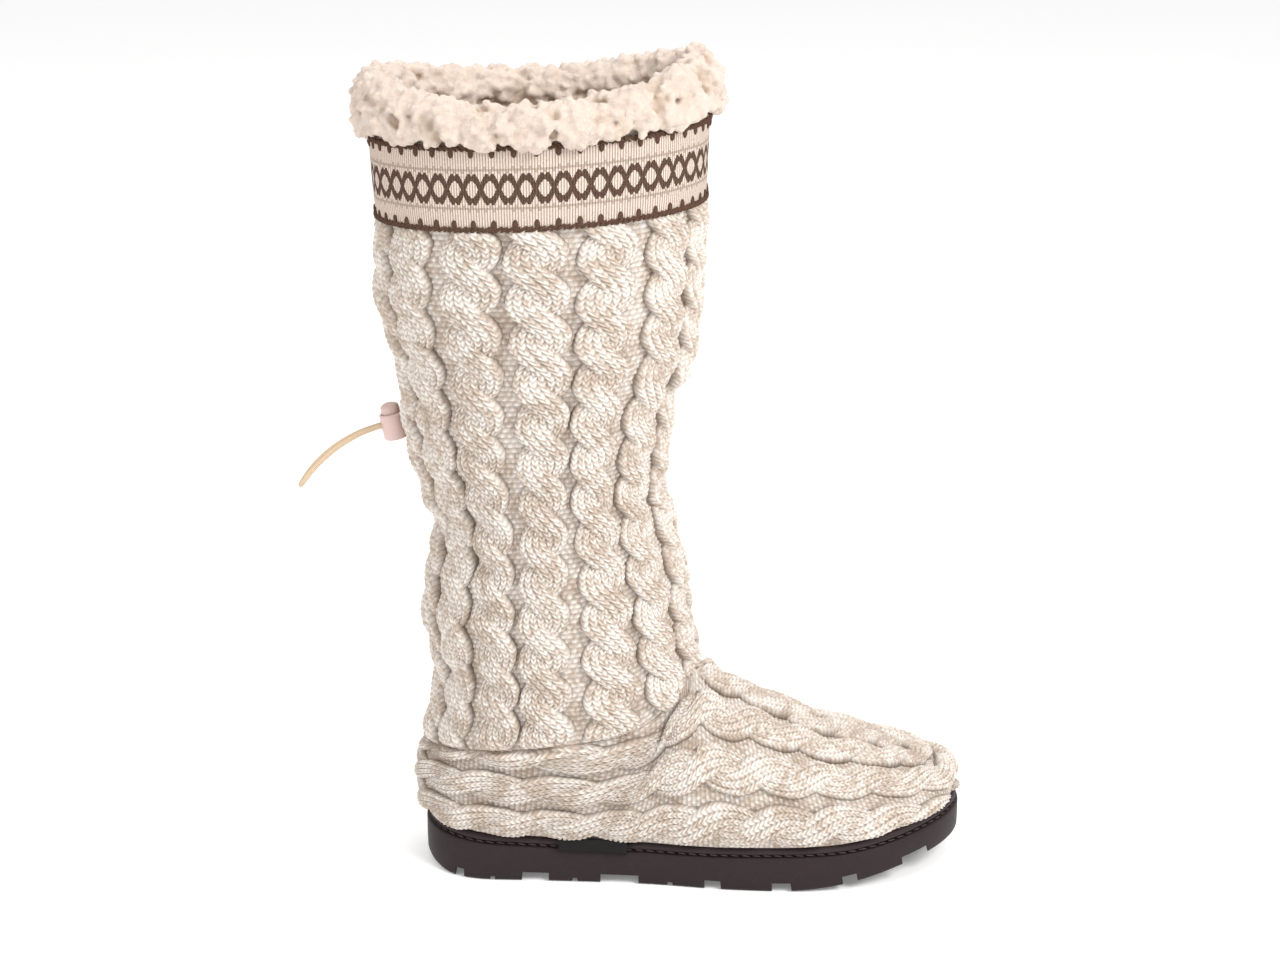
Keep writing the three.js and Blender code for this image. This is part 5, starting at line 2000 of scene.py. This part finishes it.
class BOOT_OT_outsole(bpy.types.Operator):
    """Lugged rubber outsole"""

    bl_idname = "boot.outsole"
    bl_label = "Outsole"

    def execute(self, context):
        sizes, colours = context.scene.boot_sole, context.scene.boot_colours

        def over(rise):
            return lambda at: sole_bottom(at) + rise

        def under(drop):
            return lambda at: sole_top(at) - drop

        def side(at):
            return sole_bottom(at) + 0.45 * (sole_top(at) - sole_bottom(at))

        rings = [(inset, over(rise)) for inset, rise in SOLE_FOOT]
        rings += [(0.0, side)] + [(inset, under(drop)) for inset, drop in SOLE_SHOULDER]
        finish = rubber_finish("sole_rubber", colours.sole[:], 0.5)
        piece = finished("rubber_outsole", rim_body(SOLE_COLUMNS, rings), [finish])
        gaps = []
        for at, width, depth in LUG_ROWS:
            rise = float(sole_bottom(at + SLOPE_STEP) - sole_bottom(at - SLOPE_STEP))
            slope = rise / (2 * SLOPE_STEP * SOLE_LENGTH)
            middle = (at * SOLE_LENGTH - SOLE_BACK, 0, float(sole_bottom(at)))
            size = (width * SOLE_LENGTH, 2 * BALL_WIDTH, 2 * depth * LUG_DEPTH)
            gaps.append((middle, size, slope))
        cut(piece, box_mesh(gaps))
        overrun = CHANNEL_OVERRUN * SOLE_BACK
        size = (SPRING_START + overrun, CHANNEL_WIDTH, 2 * CHANNEL_DEPTH)
        start = 0.5 * (SPRING_START - overrun)
        channels = [((start, sign * CHANNEL_OFFSET, 0), size, 0) for sign in (-1, 1)]
        cut(piece, box_mesh(channels))
        rounded(piece, sizes.edge_round, 40)
        sharp_above(piece)
        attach(piece, "boot")
        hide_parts("outsole")
        return {"FINISHED"}


class BOOT_OT_rand(bpy.types.Operator):
    """Rubber rand with the stitched groove below it"""

    bl_idname = "boot.rand"
    bl_label = "Rand and stitches"

    def execute(self, context):
        sizes, colours = context.scene.boot_sole, context.scene.boot_colours

        count = len(RAND_SECTION)

        def place(number, column, row):
            result = np.empty((len(column), 3))
            for r in range(count + 1):
                mask = row == r
                inset, share = RAND_SECTION[r % count]
                insets = np.full(mask.sum(), RAND_INSET + inset)
                rim, at, _ = sole_rim(column[mask], RAND_COLUMNS, insets)
                foot = sole_top(at) + SEAT_GAP
                result[mask] = points(rim[:, 0], rim[:, 1], foot + share * (rand_top(at) - foot))
            return result

        mesh = face_outwards(mapped_grids([(2 * RAND_COLUMNS, count)], place, grid_uv))
        finish = rubber_finish("rand_rubber", colours.rand[:], 0.52)
        piece = finished("rubber_rand", mesh, [finish])
        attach(piece, "boot")
        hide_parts("rand")
        self.stitches(sizes, yarn_finish("sole_thread", colours.thread[:]))
        return {"FINISHED"}

    def stitches(self, sizes, finish):
        """Short stitches laid in the groove between the sole's shoulder and the rand."""
        matrices = []
        for side in (-1, 1):
            edge = EDGES[side]
            count = int(edge.total / sizes.stitch_step)
            share = (np.arange(count) + 0.5) / count
            flat = edge.point(share, np.full(count, RAND_INSET - 0.0001))
            at = sole_share(edge.locate(share))
            height = sole_top(at) + SEAT_GAP + GROOVE_LEVEL * RAND_HEIGHT
            places = points(flat[:, 0], flat[:, 1], height)
            ahead = edge.point(share + STITCH_REACH, np.full(count, RAND_INSET))
            behind = edge.point(share - STITCH_REACH, np.full(count, RAND_INSET))
            slope = sole_top(sole_share(ahead)) - sole_top(sole_share(behind))
            forward = points(ahead[:, 0] - behind[:, 0], ahead[:, 1] - behind[:, 1], slope)
            out = flat - edge.point(share, np.full(count, 0.006))
            outward = points(out[:, 0], out[:, 1], 0)
            matrices.extend(frames_along(places, forward, outward, THREAD_TILT * side))
        mesh = repeated(bead(sizes.stitch_length, sizes.thread, 0.9 * sizes.thread), matrices)
        piece = finished("sole_stitches", mesh, [finish])
        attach(piece, "boot")


class BOOT_OT_insole(bpy.types.Operator):
    """Fleece-covered insole"""

    bl_idname = "boot.insole"
    bl_label = "Insole"

    def execute(self, context):
        edge = RAND_INSET + RAND_THICKNESS + 2 * SEAT_GAP + WALL

        def level(rise):
            return lambda at: sole_top(at) + SEAT_GAP + rise * INSOLE_THICKNESS

        rings = [(edge + inset, level(rise)) for inset, rise in INSOLE_SECTION]
        finish = bpy.data.materials["sherpa_fleece"]
        piece = finished("fleece_insole", rim_body(INSOLE_COLUMNS, rings), [finish])
        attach(piece, "boot")
        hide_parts("insole")
        return {"FINISHED"}


class BOOT_OT_side_tag(bpy.types.Operator):
    """Blank folded ribbon tag on the outer side"""

    bl_idname = "boot.side_tag"
    bl_label = "Side tag"

    def execute(self, context):
        colours = context.scene.boot_colours

        def place(number, column, row):
            along = column / TAG_COLUMNS
            at = (TAG_START + TAG_LENGTH * along + SOLE_BACK) / SOLE_LENGTH
            edge = edge_at(-1, at)
            top = rand_top(at) + SEAT_GAP + TAG_RISE
            loop = row % TAG_ROWS / TAG_ROWS
            angle = math.pi * np.clip(loop * 4 - 1.5, 0, 1)
            down_front = np.clip((loop - 0.625) / 0.375, 0, 1)
            down_back = np.clip((0.375 - loop) / 0.375, 0, 1)
            down = (TAG_HEIGHT - 2 * TAG_THICKNESS) * np.where(loop < 0.5, down_back, down_front)
            z = top - TAG_THICKNESS - down + TAG_THICKNESS * np.sin(angle)
            out = 0.0007 - 0.0008 * np.cos(angle)
            out = np.where(loop <= 0.375, -0.0001, np.where(loop >= 0.625, 0.0015, out))
            flutter = 0.00025 * np.sin(along * 9) * down_front
            y = edge[:, 1] + RAND_INSET - 0.0003 - SEAT_GAP - SHOULDER_INSET - out - flutter
            return points(edge[:, 0], y, z)

        def uv(number, column, row):
            return points(column / TAG_COLUMNS * TAG_LENGTH * 1000, row * 0.9)

        mesh = face_outwards(mapped_grids([(TAG_COLUMNS, TAG_ROWS)], place, uv))
        piece = finished("side_tag_ribbon", mesh, [tag_finish(colours.tag[:])])
        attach(piece, "boot")
        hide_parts("side_tag")
        return {"FINISHED"}


class BOOT_PT_pieces(bpy.types.Panel):
    """Pieces of the boot"""

    bl_label = "Mukluk boot"
    bl_idname = "BOOT_PT_pieces"
    bl_space_type = "VIEW_3D"
    bl_region_type = "UI"
    bl_category = "Boot"

    def draw(self, context):
        for operator in PIECES:
            self.layout.operator(operator.bl_idname)
        for group in GROUPS:
            settings = getattr(context.scene, group)
            box = self.layout.box()
            for name in settings.__annotations__:
                box.prop(settings, name)


GROUPS = {
    "boot_knit": BootKnitSizes,
    "boot_band": BootBandSizes,
    "boot_cuff": BootCuffSizes,
    "boot_sole": BootSoleSizes,
    "boot_colours": BootColours,
}

PIECES = (
    BOOT_OT_stage,
    BOOT_OT_cord_lock,
    BOOT_OT_draw_cord,
    BOOT_OT_shaft_knit,
    BOOT_OT_foot_knit,
    BOOT_OT_band,
    BOOT_OT_cuff,
    BOOT_OT_outsole,
    BOOT_OT_rand,
    BOOT_OT_insole,
    BOOT_OT_side_tag,
)


def register():
    for group in GROUPS.values():
        bpy.utils.register_class(group)
    for name, group in GROUPS.items():
        setattr(bpy.types.Scene, name, PointerProperty(type=group))
    for operator in PIECES:
        bpy.utils.register_class(operator)
    bpy.utils.register_class(BOOT_PT_pieces)


def unregister():
    bpy.utils.unregister_class(BOOT_PT_pieces)
    for operator in reversed(PIECES):
        bpy.utils.unregister_class(operator)
    for name in GROUPS:
        delattr(bpy.types.Scene, name)
    for group in GROUPS.values():
        bpy.utils.unregister_class(group)


def main():
    register()
    bpy.ops.boot.stage()
    bpy.ops.boot.cord_lock()
    bpy.ops.boot.draw_cord()
    bpy.ops.boot.shaft_knit()
    bpy.ops.boot.foot_knit()
    bpy.ops.boot.band()
    bpy.ops.boot.cuff()
    bpy.ops.boot.outsole()
    bpy.ops.boot.rand()
    bpy.ops.boot.insole()
    bpy.ops.boot.side_tag()


if __name__ == "__main__":
    main()
